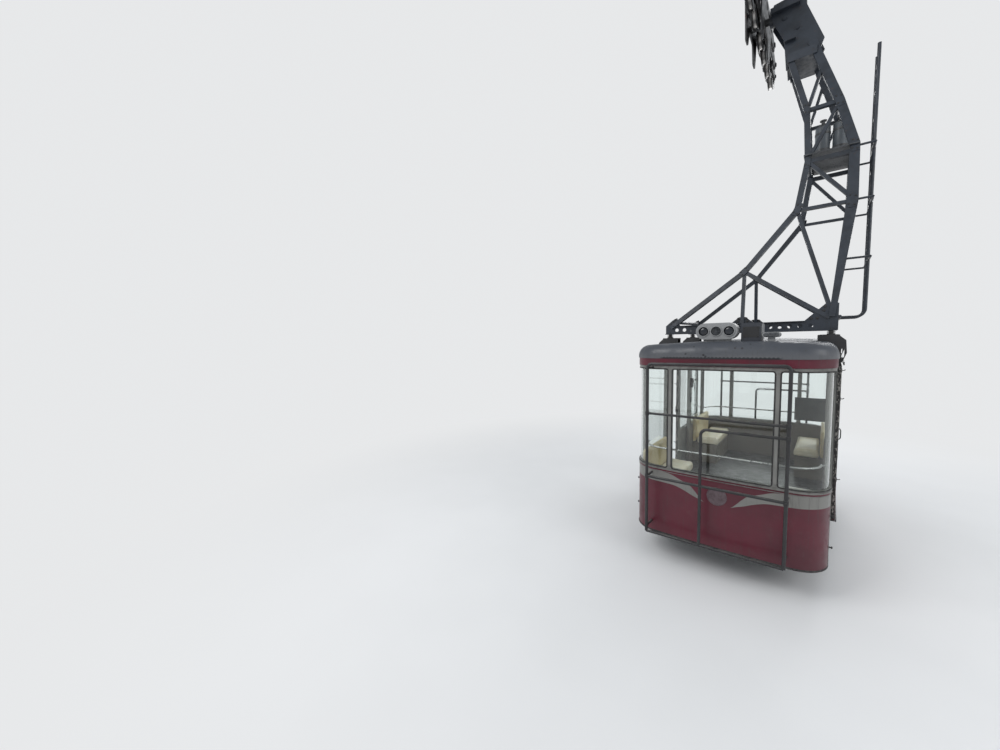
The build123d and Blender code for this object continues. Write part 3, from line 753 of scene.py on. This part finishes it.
def rounded(run0, run1, z0, z1, first, last):
    """A round-cornered loop of run and height, with its first and last end's own radius."""
    corners = [(run1 - last, z0 + last, last, -90), (run1 - last, z1 - last, last, 0),
               (run0 + first, z1 - first, first, 90), (run0 + first, z0 + first, first, 180)]
    arcs = []
    for run, z, radius, start in corners:
        turns = [math.radians(start + 15 * i) for i in range(7)]
        arcs.append([(run + radius * math.cos(turn), z + radius * math.sin(turn)) for turn in turns])
    loop = []
    for i, arc in enumerate(arcs):
        after = arcs[(i + 1) % 4]
        loop += arc + line(arc[-1], after[0])[1:-1]
    return loop


def hex_bolt(form, at, axis, radius=0.011, height=0.008):
    """A hexagon head on its washer."""
    washer = 0.0025
    axis = Vector(axis)
    form.turned(at, axis, [(0.0, radius * 1.5), (washer, radius * 1.5)], 16)
    head = [(0.0, radius), (height * 0.8, radius), (height, radius * 0.8)]
    form.turned(Vector(at) + axis * washer, axis, head, 6)


# Trim of the cabin's walls

# The panes' edges on the near half: places across on the end, and along on the side
MIDDLE_PANE_X = 0.4825
CORNER_PANE_X = 0.5375
CORNER_PANE_Y = -1.515
SIDE_PANE_Y = (-1.435, -0.670)
PANE_ROUND = 0.024
SIDE_ROUND = 0.074
RUBBER_GROW = 0.004
SEAM_Y = -1.5825
HOOK_Y = -1.5675
DISC_X = -0.004
DISC_UP = 0.412
DISC = [(0.0, 0.004), (0.05, 0.004), (0.084, 0.004), (0.087, 0.006), (0.096, 0.006), (0.1, 0.0)]
HOOK = [(0, 0.016), (0.004, 0.016), (0.005, 0.007), (0.022, 0.007), (0.023, 0.012), (0.030, 0.012),
        (0.033, 0.008)]


def add_wall_trim():
    """Window rubbers, sill beads, cover strips, the skirt's edge, the blank discs and the hooks."""
    grow = RUBBER_GROW
    low, high = PANE_BOTTOM - grow, GLASS_TOP + grow
    middle = run_at_x(MIDDLE_PANE_X) + grow
    seals = Form()
    seals.trim(rounded(-middle, middle, low, high, PANE_ROUND, PANE_ROUND), 0.014, 0.005, closed=True)
    seals.copies(ENDS)
    panes = Form()
    for start, end, first in (
        (run_at_x(CORNER_PANE_X), run_at_y(CORNER_PANE_Y), PANE_ROUND),
        (run_at_y(SIDE_PANE_Y[0]), run_at_y(SIDE_PANE_Y[1]), SIDE_ROUND),
    ):
        loop = rounded(start - grow, end + grow, low, high, first, SIDE_ROUND)
        panes.trim(loop, 0.014, 0.005, closed=True)
    panes.copies(QUARTERS)
    seals.add(panes.verts, panes.faces)
    seals.piece("window_rubbers", "rubber")

    end = run_at_y(-DOORWAY)
    seam = run_at_y(SEAM_Y)
    skirt = SKIRT_BOTTOM + 0.012
    beads = Form()
    for z, width, height in (
        (SILL_TOP + 0.009, 0.018, 0.007),
        (SILL_TOP - 0.020, 0.008, 0.004),
        (BAND_BOTTOM - 0.004, 0.008, 0.004),
    ):
        beads.trim(line((0, z), (end, z)), width, height)
    beads.trim(line((seam, skirt), (seam, SILL_TOP - 0.025)), 0.015, 0.003)
    beads.copies(QUARTERS).piece("wall_beads", "grey_frame")

    edge = Form()
    edge.trim(line((0, skirt), (end, skirt)), 0.022, 0.005)
    edge.copies(QUARTERS).piece("skirt_edge", "rubber")

    disc = Form()
    z = FLOOR_TOP + DISC_UP
    rings = [[on_wall(DISC_X + r * c, z + r * s, out) for c, s in circle(48)] for r, out in DISC]
    disc.grid(rings, close_columns=True)
    disc.copies(ENDS).piece("blank_discs", "board", "disc")

    hooks = Form()
    for height in (0.342, 0.02):
        hooks.turned(on_wall(run_at_y(HOOK_Y), FLOOR_TOP + height, -0.002), RIGHT, HOOK, 20)
    hooks.copies(SIDES).piece("skirt_hooks", "dark_steel", "rack")


# Sliding doors

LEAF_PANE_Y = 0.494
LEAF_PANE_TOP = GLASS_TOP - 0.086
GRIP_Y = -0.545
LATCH_Y = -0.577
RIB_Y = 0.47


def add_door(name, body, side, open_by):
    """Glass rubber, edge rubber, grip, latches and ribs of one leaf."""

    def fit(form, part, slot, finish=None, bevel=0.0):
        """Put a form of the right leaf on this leaf's side and place."""
        form.copies([(side, 1)]).along(open_by).piece(f"{name}_{part}", slot, finish, body, bevel)

    ring = Form()
    rows = []
    middle = (PANE_BOTTOM + GLASS_TOP) / 2
    low = PANE_BOTTOM - RUBBER_GROW
    for y, z in rounded(-LEAF_PANE_Y, LEAF_PANE_Y, low, LEAF_PANE_TOP, SIDE_ROUND, SIDE_ROUND):
        inward = 0.012 / math.hypot(y, z - middle)
        row = []
        for out, share in ((0.0, 0.0), (0.003, 0.3), (0.003, 1.0), (-0.012, 1.0)):
            drawn = share * inward
            row.append((LEAF_OUT + out, y * (1 - drawn), z + (middle - z) * drawn))
        rows.append(row)
    ring.grid(rows, close_rows=True)
    fit(ring, "glass_rubber", "rubber")

    edge = Form()
    edge.block((LEAF_OUT - 0.033, -0.608, FLOOR_TOP - 0.04), (LEAF_OUT - 0.003, -0.600, GLASS_TOP - 0.016))
    fit(edge, "edge_rubber", "rubber", "door_edge", 0.002)

    grip = Form()
    low, high = FLOOR_TOP + 0.915, FLOOR_TOP + 1.045
    bend = [(-0.002, low), (0.010, low + 0.006), (0.018, low + 0.024),
            (0.018, high - 0.024), (0.010, high - 0.006), (-0.002, high)]
    grip.tube([(LEAF_OUT + out, GRIP_Y, z) for out, z in bend], 0.006)
    for height in (0.442, 1.40, 1.73):
        z = FLOOR_TOP + height
        grip.block((LEAF_OUT, -0.594, z - 0.022), (LEAF_OUT + 0.004, -0.560, z + 0.022))
        hook = [(0.0, 0.0, 0.0), (0.016, 0.0, 0.0), (0.026, -0.003, 0.003), (0.030, -0.009, 0.010)]
        grip.tube([(LEAF_OUT + out, LATCH_Y + dy, z + dz) for out, dy, dz in hook], 0.0045, 10)
    fit(grip, "grip", "rail_steel")

    ribs = Form()
    for i in range(3):
        z = FLOOR_TOP + 0.19 + 0.12 * i
        ribs.block((LEAF_OUT - 0.001, -RIB_Y, z - 0.008), (LEAF_OUT + 0.003, RIB_Y, z + 0.008))
    fit(ribs, "ribs", "door_panel", bevel=0.003)


# Lamps on the roof

POD_X = (-0.205, -0.080, 0.045)
POD_Y = -1.7045
POD_UP = 0.112
BEZEL = [(0.0, 0.0535), (0.004, 0.0585), (0.009, 0.0580), (0.011, 0.0545), (0.010, 0.0500), (0.002, 0.0490)]
DOME = [(0.0, 0.0500), (0.004, 0.0495), (0.010, 0.044), (0.015, 0.033), (0.018, 0.018), (0.019, 0.004)]
LID_Y = -1.6475
SMALL_LAMP = Vector((0.420, -1.665, ROOF_TOP + 0.060))
SMALL_LAMP_R = 0.022
SMALL_LAMP_SPREAD = 0.046
SMALL_LENS = [(1.0, 0.0), (0.94, 0.006), (0.7, 0.009), (0.35, 0.010), (0.02, 0.010)]


def add_roof_lamps():
    """Bezels and lenses in the pod, and the fittings of the two boxes."""
    z = ROOF_TOP + POD_UP
    bezels, dark = Form(), Form()
    for x in POD_X:
        rings = [[(x + r * c, POD_Y - along, z + r * s) for c, s in circle(40)] for along, r in BEZEL]
        bezels.grid(rings, close_rows=True, close_columns=True)
        if x != POD_X[1]:
            dark.turned((x, -1.689, z), NEAR, DOME, 40)
    bezels.piece("lamp_bezels", "lamp_housing")
    dark.piece("lamp_lenses", "glass", "dark_lens")
    ribbed = Form()
    rows = [(0.0, 0.0500)]
    for i in range(8):
        radius = 0.047 - 0.0058 * i
        rows += [(0.004 + 0.0012 * i, radius), (0.0075 + 0.0012 * i, radius - 0.0022)]
    ribbed.turned((POD_X[1], -1.691, z), NEAR, rows, 40)
    ribbed.piece("centre_lens", "glass", "ribbed_lens")

    cover = Form()
    cover.block((0.329, -1.635, ROOF_TOP + 0.020), (0.339, -1.455, ROOF_TOP + 0.176))
    cover.piece("box_side_plate", "lamp_housing", bevel=0.003)
    box = Form()
    box.block((0.166, LID_Y, ROOF_TOP + 0.036), (0.314, LID_Y + 0.003, ROOF_TOP + 0.150))
    for x in (0.178, 0.302):
        for height in (0.048, 0.138):
            hex_bolt(box, (x, LID_Y, ROOF_TOP + height), NEAR, 0.005, 0.005)
    box.piece("box_lid", "dark_steel", "rack")
    lens = Form()
    rim = [(SMALL_LAMP_R * c + math.copysign(SMALL_LAMP_SPREAD, c), SMALL_LAMP_R * s) for c, s in circle(48)]
    rows = [[SMALL_LAMP + Vector((x * share, -out, z * share)) for x, z in rim] for share, out in SMALL_LENS]
    lens.grid(rows, close_columns=True)
    lens.piece("small_lamp_lens", "glass", "ribbed_lens")


# Hanger hardware

# Gusset bolts of the near truss: place across, height over the roof
GUSSET_BOLTS = [(-0.885, 0.240), (-0.850, 0.272), (-0.822, 0.300), (-0.055, 0.240), (0.055, 0.240),
                (-0.042, 0.275), (0.042, 0.275), (0.700, 0.240), (0.760, 0.240), (0.815, 0.325),
                (0.826, 0.372)]
GUSSET_OUT = 0.006
SPRING_X = 0.890
# Plates over the truss's joints: middle across and height, half width, half height, turn in degrees
JOINT_PLATES = [(0.000, 0.882, 0.062, 0.036, 45), (0.522, 1.566, 0.075, 0.036, 68),
                (1.018, 1.560, 0.044, 0.085, 0), (0.600, 2.130, 0.027, 0.085, -2),
                (1.018, 2.195, 0.038, 0.080, 4), (0.568, 2.770, 0.027, 0.075, 8),
                (0.868, 2.765, 0.036, 0.080, 17)]
PLATE_FACES = (0.0292, 0.0355)
BOLT_SHARE = 0.68
PLATE_OUTLINE = [(-1, -0.7), (-0.7, -1), (0.7, -1), (1, -0.7), (1, 0.7), (0.7, 1), (-0.7, 1), (-1, 0.7)]
# Rocker pins of the carriage: Y, Z, the cheek's outside and the cap's radius
ROCKER_PINS = [(0.83, 0.29, 0.091, 0.045), (0.45, 0.21, 0.072, 0.040), (1.21, 0.21, 0.072, 0.040)]
SPACER = [(0, 0.018), (0.004, 0.018), (0.004, 0.026), (0.012, 0.026), (0.012, 0.014), (0.291, 0.014),
          (0.291, 0.026), (0.299, 0.026), (0.299, 0.018), (0.303, 0.018)]
BOTTLES_X = (0.720, 0.890)
BOTTLE_TOP = ROOF_TOP + 2.600
BOTTLE_NECK = [(0, 0.074), (0.012, 0.068), (0.026, 0.050), (0.034, 0.030), (0.050, 0.024), (0.052, 0.018),
               (0.075, 0.018), (0.078, 0.034), (0.092, 0.034), (0.094, 0.010)]
STRAP = [(0, 0.0752), (0.002, 0.079), (0.026, 0.079), (0.028, 0.0752)]


def truss_point(x, height, out):
    """A place on the near truss's outer face, or out from it, at a height over the roof."""
    lean, up = math.sin(FRAME_LEAN), math.cos(FRAME_LEAN)
    rise = height - BEAM_TOP
    return Vector((x, lean * rise - up * out - FRAME_Y, ROOF_TOP + BEAM_TOP + up * rise + lean * out))


def add_hanger_hardware():
    """Gusset bolts, joint plates, spring nuts, pin caps, head spacers and bottle fittings."""
    bolts = Form()
    for x, height in GUSSET_BOLTS:
        for way in (-1, 1):
            hex_bolt(bolts, (x, -FRAME_Y + way * GUSSET_OUT, ROOF_TOP + height), (0, way, 0))
    for x in (-SPRING_X, SPRING_X):
        for y in (-0.020, 0.020):
            hex_bolt(bolts, (x, y - FRAME_Y, ROOF_TOP + 0.105), UP, 0.008, 0.007)
    bolts.copies(ENDS).piece("gusset_bolts", "dark_steel", "rack")

    plates, heads = Form(), Form()
    for x, height, half_w, half_h, turn in JOINT_PLATES:
        c, s = math.cos(math.radians(turn)), math.sin(math.radians(turn))
        corners = []
        for a, b in PLATE_OUTLINE:
            corners.append((x + a * half_w * c - b * half_h * s, height + a * half_w * s + b * half_h * c))
        plates.capped([[truss_point(px, ph, out) for px, ph in corners] for out in PLATE_FACES])
        for px, ph in corners[::2]:
            at = truss_point(x + (px - x) * BOLT_SHARE, height + (ph - height) * BOLT_SHARE, 0.0350)
            hex_bolt(heads, at, NEAR, 0.007, 0.006)
    plates.copies(ENDS).piece("joint_plates", "dark_steel", bevel=0.002)
    heads.copies(ENDS).piece("joint_bolts", "dark_steel", "rack")

    nuts = Form()
    for height in (0.0438, 0.0915):
        at = (SPRING_X, -FRAME_Y, ROOF_TOP + height)
        nuts.turned(at, UP, [(0, 0.043), (0.0035, 0.043)], 28)
    nuts.copies(QUARTERS).piece("spring_nuts", "dark_steel", "rack")

    caps = Form()
    for y, z, out, radius in ROCKER_PINS:
        cap = [(0, 1), (0.006, 1), (0.008, 0.72), (0.016, 0.70), (0.018, 0.55)]
        caps.turned((out, y, z), RIGHT, [(along, radius * share) for along, share in cap], 28)
    for y in WHEELS_Y:
        caps.turned((0.055, y, WHEEL_Z), RIGHT, [(0, 0.036), (0.004, 0.036), (0.005, 0.026)], 24)
        caps.turned((0.0595, y, WHEEL_Z), RIGHT, [(0, 0.022), (0.009, 0.022), (0.011, 0.017)], 6)
    caps.copies(QUARTERS).piece("pin_caps", "carriage_steel", body="carriage")

    spacers = Form()
    for x, z in ((0.430, -0.160), (0.560, -0.400), (0.300, 0.010)):
        spacers.turned((x, -0.1515, z), (0, 1, 0), SPACER, 20)
    spacers.piece("head_spacers", "dark_steel")

    valves = Form()
    for x in BOTTLES_X:
        valves.turned((x, 0, BOTTLE_TOP), UP, BOTTLE_NECK)
        for down in (0.29, 0.09):
            valves.turned((x, 0, BOTTLE_TOP - down), UP, STRAP, 40)
    valves.piece("bottle_fittings", "dark_steel", "rail_steel")


RACK_Y = -2.025
# Joints of the near rack: place across, height over the floor
RACK_JOINTS = [(-0.71, 1.290), (0.62, 1.290), (-0.71, 0.545), (0.62, 0.545), (0.62, 1.170)]
COLLAR = [(0, 0.0175), (0.001, 0.022), (0.047, 0.022), (0.048, 0.0175)]


def add_rack_clamps():
    """Collars where the racks' arms and cross bars meet the uprights."""
    clamps = Form()
    for x, height in RACK_JOINTS:
        z = FLOOR_TOP + height
        clamps.turned((x, RACK_Y, z - 0.024), UP, COLLAR, 20)
        hex_bolt(clamps, (x, RACK_Y - 0.022, z), NEAR, 0.007, 0.006)
    clamps.copies(ENDS).piece("rack_clamps", "dark_steel", "rack")


# Seats

SEAT_FRONT = 0.500
SEAT_FAR, SEAT_NEAR = 1.735, 0.745
BACK_FAR = 1.695
CUSHION_TOP = FLOOR_TOP + 0.430
BACK_TOP = FLOOR_TOP + 0.745
SEATS = {"near_left": (-1, 1), "far_left": (-1, -1), "far_right": (1, -1)}
SLATS = 9
SLAT_PITCH = 0.950 / SLATS
SCREWS_X = (0.592, 0.820)
VOXEL = 0.012
CLOTH_FRAMES = 20


def rounded_box(low, high, radius):
    """A mesh of a box with round edges."""
    work = bmesh.new()
    bmesh.ops.create_cube(work, size=1.0)
    size = Vector(high) - Vector(low)
    middle = (Vector(high) + Vector(low)) / 2
    for vert in work.verts:
        vert.co = middle + Vector(c * s for c, s in zip(vert.co, size))
    bmesh.ops.bevel(work, geom=work.edges[:], offset=radius, segments=5, profile=0.5, affect="EDGES")
    mesh = bpy.data.meshes.new("pad")
    work.to_mesh(mesh)
    work.free()
    return mesh


def settled(obj):
    """A new mesh of the object as its modifiers leave it."""
    graph = bpy.context.evaluated_depsgraph_get()
    return bpy.data.meshes.new_from_object(obj.evaluated_get(graph))


def stuffed(low, high, radius, swell, cap, held):
    """Vertices and faces of a pad, blown up as stuffed vinyl and held where held(point) is true."""
    low, high = Vector(low), Vector(high)
    obj = placed("pad", rounded_box(low + swell, high - swell, radius))
    remesh = obj.modifiers.new("voxels", "REMESH")
    remesh.mode = "VOXEL"
    remesh.voxel_size = VOXEL
    mesh = settled(obj)
    obj.modifiers.clear()
    obj.data = mesh
    start = [v.co.copy() for v in mesh.vertices]
    fixed = [i for i, p in enumerate(start) if held(p)]
    obj.vertex_groups.new(name="held").add(fixed, 1.0, "REPLACE")
    cloth = obj.modifiers.new("stuffing", "CLOTH")
    settings = cloth.settings
    settings.quality = 5
    settings.use_pressure = True
    settings.uniform_pressure_force = 4
    settings.effector_weights.gravity = 0
    settings.vertex_group_mass = "held"
    cloth.point_cache.frame_start = 1
    cloth.point_cache.frame_end = CLOTH_FRAMES
    for number in range(1, CLOTH_FRAMES + 1):
        scene.frame_set(number)
    end = [v.co.copy() for v in settled(obj).vertices]
    scene.frame_set(1)
    points = []
    for a, b in zip(start, end):
        move = b - a
        if move.length > cap:
            move *= cap / move.length
        points.append(a + move)
    faces = [list(face.vertices) for face in mesh.polygons]
    bpy.data.objects.remove(obj)
    return points, faces


def add_pads(name, node, points, faces, finish, rise):
    """The pad on each seat, each with its own slight unevenness along the rise."""
    for label, (fx, fy) in SEATS.items():
        form = Form()
        seed = Vector((fx * 3.1, fy * 7.7, len(label)))
        verts = []
        for p in points:
            lift = 0.0035 * noise.noise(p * 7 + seed) + 0.0015 * noise.noise(p * 23 + seed)
            verts.append(p + lift * rise)
        form.add(verts, faces)
        pad = form.copies([(fx, fy)]).piece(f"{name}_{label}", "cushion", finish, angle=180)
        subdivide = pad.modifiers.new("smooth", "SUBSURF")
        subdivide.levels = subdivide.render_levels = 1
        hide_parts(node)


def in_corner(p, reach):
    """A pad's point, drawn in where the cabin's round corner leaves less room than its reach."""
    if p.y < CORNER_Y:
        room = CORNER_R - WALL - 0.003
        reach = min(reach, CORNER_X + math.sqrt(max(0.0, room**2 - (p.y - CORNER_Y) ** 2)))
    return Vector((min(p.x, reach), p.y, p.z))


def add_seats():
    """Cushions, backs, the bases' battens and the bare base's screws."""
    inner = INSIDE - 0.062
    points, faces = stuffed(
        (SEAT_FRONT, -SEAT_FAR, CUSHION_LOW), (inner, -SEAT_NEAR, CUSHION_TOP), 0.030,
        Vector((0.006, 0.006, 0.004)), 0.012, lambda p: p.z < CUSHION_LOW + 0.012,
    )
    lowest = CUSHION_LOW + 0.0005
    points = [in_corner(Vector((p.x, p.y, max(p.z, lowest))), inner) for p in points]
    add_pads("cushion", "seat_cushions", points, faces, None, Vector(UP))
    wall = INSIDE - 0.0005
    points, faces = stuffed(
        (INSIDE - 0.058, -BACK_FAR, CUSHION_LOW + 0.001), (wall, -SEAT_NEAR, BACK_TOP), 0.020,
        Vector((0.004, 0.006, 0.006)), 0.010, lambda p: p.x > INSIDE - 0.014,
    )
    points = [in_corner(p, wall) for p in points]
    add_pads("back", "seat_backs", points, faces, "seat_back", Vector(RIGHT))

    kicks = Form()
    face = SEAT_FRONT + 0.0305
    for y in (-0.79, -1.69):
        kicks.block((face - 0.0055, y - 0.012, FLOOR_TOP + 0.02), (face, y + 0.012, CUSHION_LOW - 0.006))
    for z in (FLOOR_TOP + 0.03, FLOOR_TOP + 0.295):
        kicks.block((face - 0.0065, -1.705, z - 0.012), (face, -0.775, z + 0.012))
    kicks.copies(SEATS.values()).piece("base_battens", "seat_base", bevel=0.002)

    screws = Form()
    dome = [(0, 0.007), (0.0012, 0.0066), (0.0022, 0.0045), (0.0026, 0.002)]
    for i in range(SLATS):
        y = 0.020 - SEAT_FAR + SLAT_PITCH * (i + 0.5)
        for x in SCREWS_X:
            screws.turned((x, y, CUSHION_LOW - 0.001), UP, dome, 16)
    screws.piece("slat_screws", "rail_steel", "tube")


# Fittings inside

CONTROL_Y = 0.615
# The control's lever and its cable: distance in from the wall, place along and height over the floor
LEVER = [(0.040, CONTROL_Y, 1.42), (0.052, 0.620, 1.36), (0.054, 0.632, 1.29), (0.050, 0.640, 1.24)]
CABLE = [(0.012, CONTROL_Y, 1.30), (0.012, CONTROL_Y, 1.20), (0.010, CONTROL_Y, 1.12)]
SHADE = [(0, 0.125), (0.010, 0.128), (0.018, 0.122), (0.034, 0.108), (0.046, 0.078), (0.052, 0.040),
         (0.053, 0.006)]
CEILING = ROOF_TOP - WALL
BATTENS_Y = (-1.35, -0.45, 0.45, 1.35)
BATTEN_X = 0.76
BATTEN_STEPS = 16


def add_inside_fittings():
    """The door control on the far left post, corner seals, ceiling lamps and battens."""
    left = -INSIDE
    box = Form()
    box.block((left, 0.585, FLOOR_TOP + 1.30), (left + 0.034, 0.645, FLOOR_TOP + 1.46))
    box.block((left, 0.595, FLOOR_TOP + 1.045), (left + 0.014, 0.635, FLOOR_TOP + 1.13))
    box.piece("door_control", "dark_steel", "rail_steel", bevel=0.004)
    lever = Form()
    hub = [(0, 0.018), (0.012, 0.018), (0.014, 0.014)]
    lever.turned((left + 0.034, CONTROL_Y, FLOOR_TOP + 1.42), RIGHT, hub, 24)
    for path, radius in ((LEVER, 0.006), (CABLE, 0.007)):
        lever.tube([(left + into, y, FLOOR_TOP + height) for into, y, height in path], radius)
    lever.piece("door_lever", "rail_steel", "tube")
    seal = Form()
    seal.block((left - 0.001, 1.485, FLOOR_TOP + 0.78), (left + 0.008, 1.505, FLOOR_TOP + 1.55))
    seal.copies(SIDES).piece("corner_seals", "rubber", bevel=0.002)
    lamp = Form()
    for y in (-0.85, 0.85):
        lamp.turned((0, y, CEILING), (0, 0, -1), SHADE, 40)
    lamp.piece("ceiling_lamps", "lamp_housing", "ceiling")
    battens = Form()
    crown = (HALF_W**2 + ROOF_CROWN**2) / (2 * ROOF_CROWN)
    for y in BATTENS_Y:
        rings = []
        for i in range(BATTEN_STEPS + 1):
            x = BATTEN_X * (2 * i / BATTEN_STEPS - 1)
            z = CEILING - crown + math.sqrt(crown**2 - x**2)
            section = ((-0.015, 0.002), (0.015, 0.002), (0.015, -0.006), (-0.015, -0.006))
            rings.append([(x, y + dy, z + dz) for dy, dz in section])
        battens.capped(rings)
    battens.piece("ceiling_battens", "roof_skin", "ceiling", bevel=0.002)


add_wall_trim()
add_door("right_leaf", "right_door", 1, 0.0)
add_door("left_leaf", "left_door", -1, LEAF_OPEN)
add_roof_lamps()
add_hanger_hardware()
add_rack_clamps()
add_seats()
add_inside_fittings()


# Floor, backdrop and light

BACKDROP = (0.80, 0.81, 0.82)
SKY = (0.92, 0.96, 1.0)
# Name, place, aim, size and watts
LAMPS = [
    ("key_lamp", (-4.5, -8.0, 1.5), (0, 0, -5.0), 5.0, 380),
    ("side_lamp", (7.0, -3.0, -1.0), (0, 0, -4.5), 4.0, 170),
    ("back_lamp", (1.0, 8.0, 0.5), (0, 0, -5.0), 5.0, 330),
]


def add_stage():
    """A plain pale floor that fades into a pale surround, and soft lamps."""
    bpy.ops.mesh.primitive_plane_add(size=160, location=(0, 0, GROUND))
    ground = bpy.context.object
    ground.name = "studio_floor"
    g = Graph("studio_floor")
    pale = g.mix(g.span(g.noise(0.8, 2), 0.3, 0.7), (0.78, 0.785, 0.79), (0.80, 0.805, 0.81))
    g.set("Base Color", pale)
    g.set("Roughness", 0.85)
    glow = g.plain("Emission", BACKDROP)
    seen = g.rays("Camera", "Glossy", "Transmission")
    reach = g.math("SQRT", g.math("MULTIPLY_ADD", g.x, g.x, g.times(g.y, g.y)))
    g.put(g.out, g.blend(g.times(seen, g.span(reach, 2.5, 9.0)), g.shader.outputs[0], glow))
    ground.data.materials.append(g.mat)

    world = bpy.data.worlds.new("studio")
    world.use_nodes = True
    scene.world = world
    sky = Tree(world.node_tree)
    soft = sky.plain("Background", SKY, 0.62)
    plain = sky.plain("Background", BACKDROP, 1.0)
    sky.put(sky.new("OutputWorld").inputs[0], sky.blend(sky.rays("Camera", "Transmission"), soft, plain))

    for name, at, aim, size, watts in LAMPS:
        data = bpy.data.lights.new(name, "AREA")
        data.energy = watts
        data.size = size
        lamp = placed(name, data)
        lamp.location = at
        lamp.rotation_euler = (Vector(aim) - Vector(at)).to_track_quat("-Z", "Y").to_euler()


add_stage()
scene.view_settings.view_transform = "Standard"
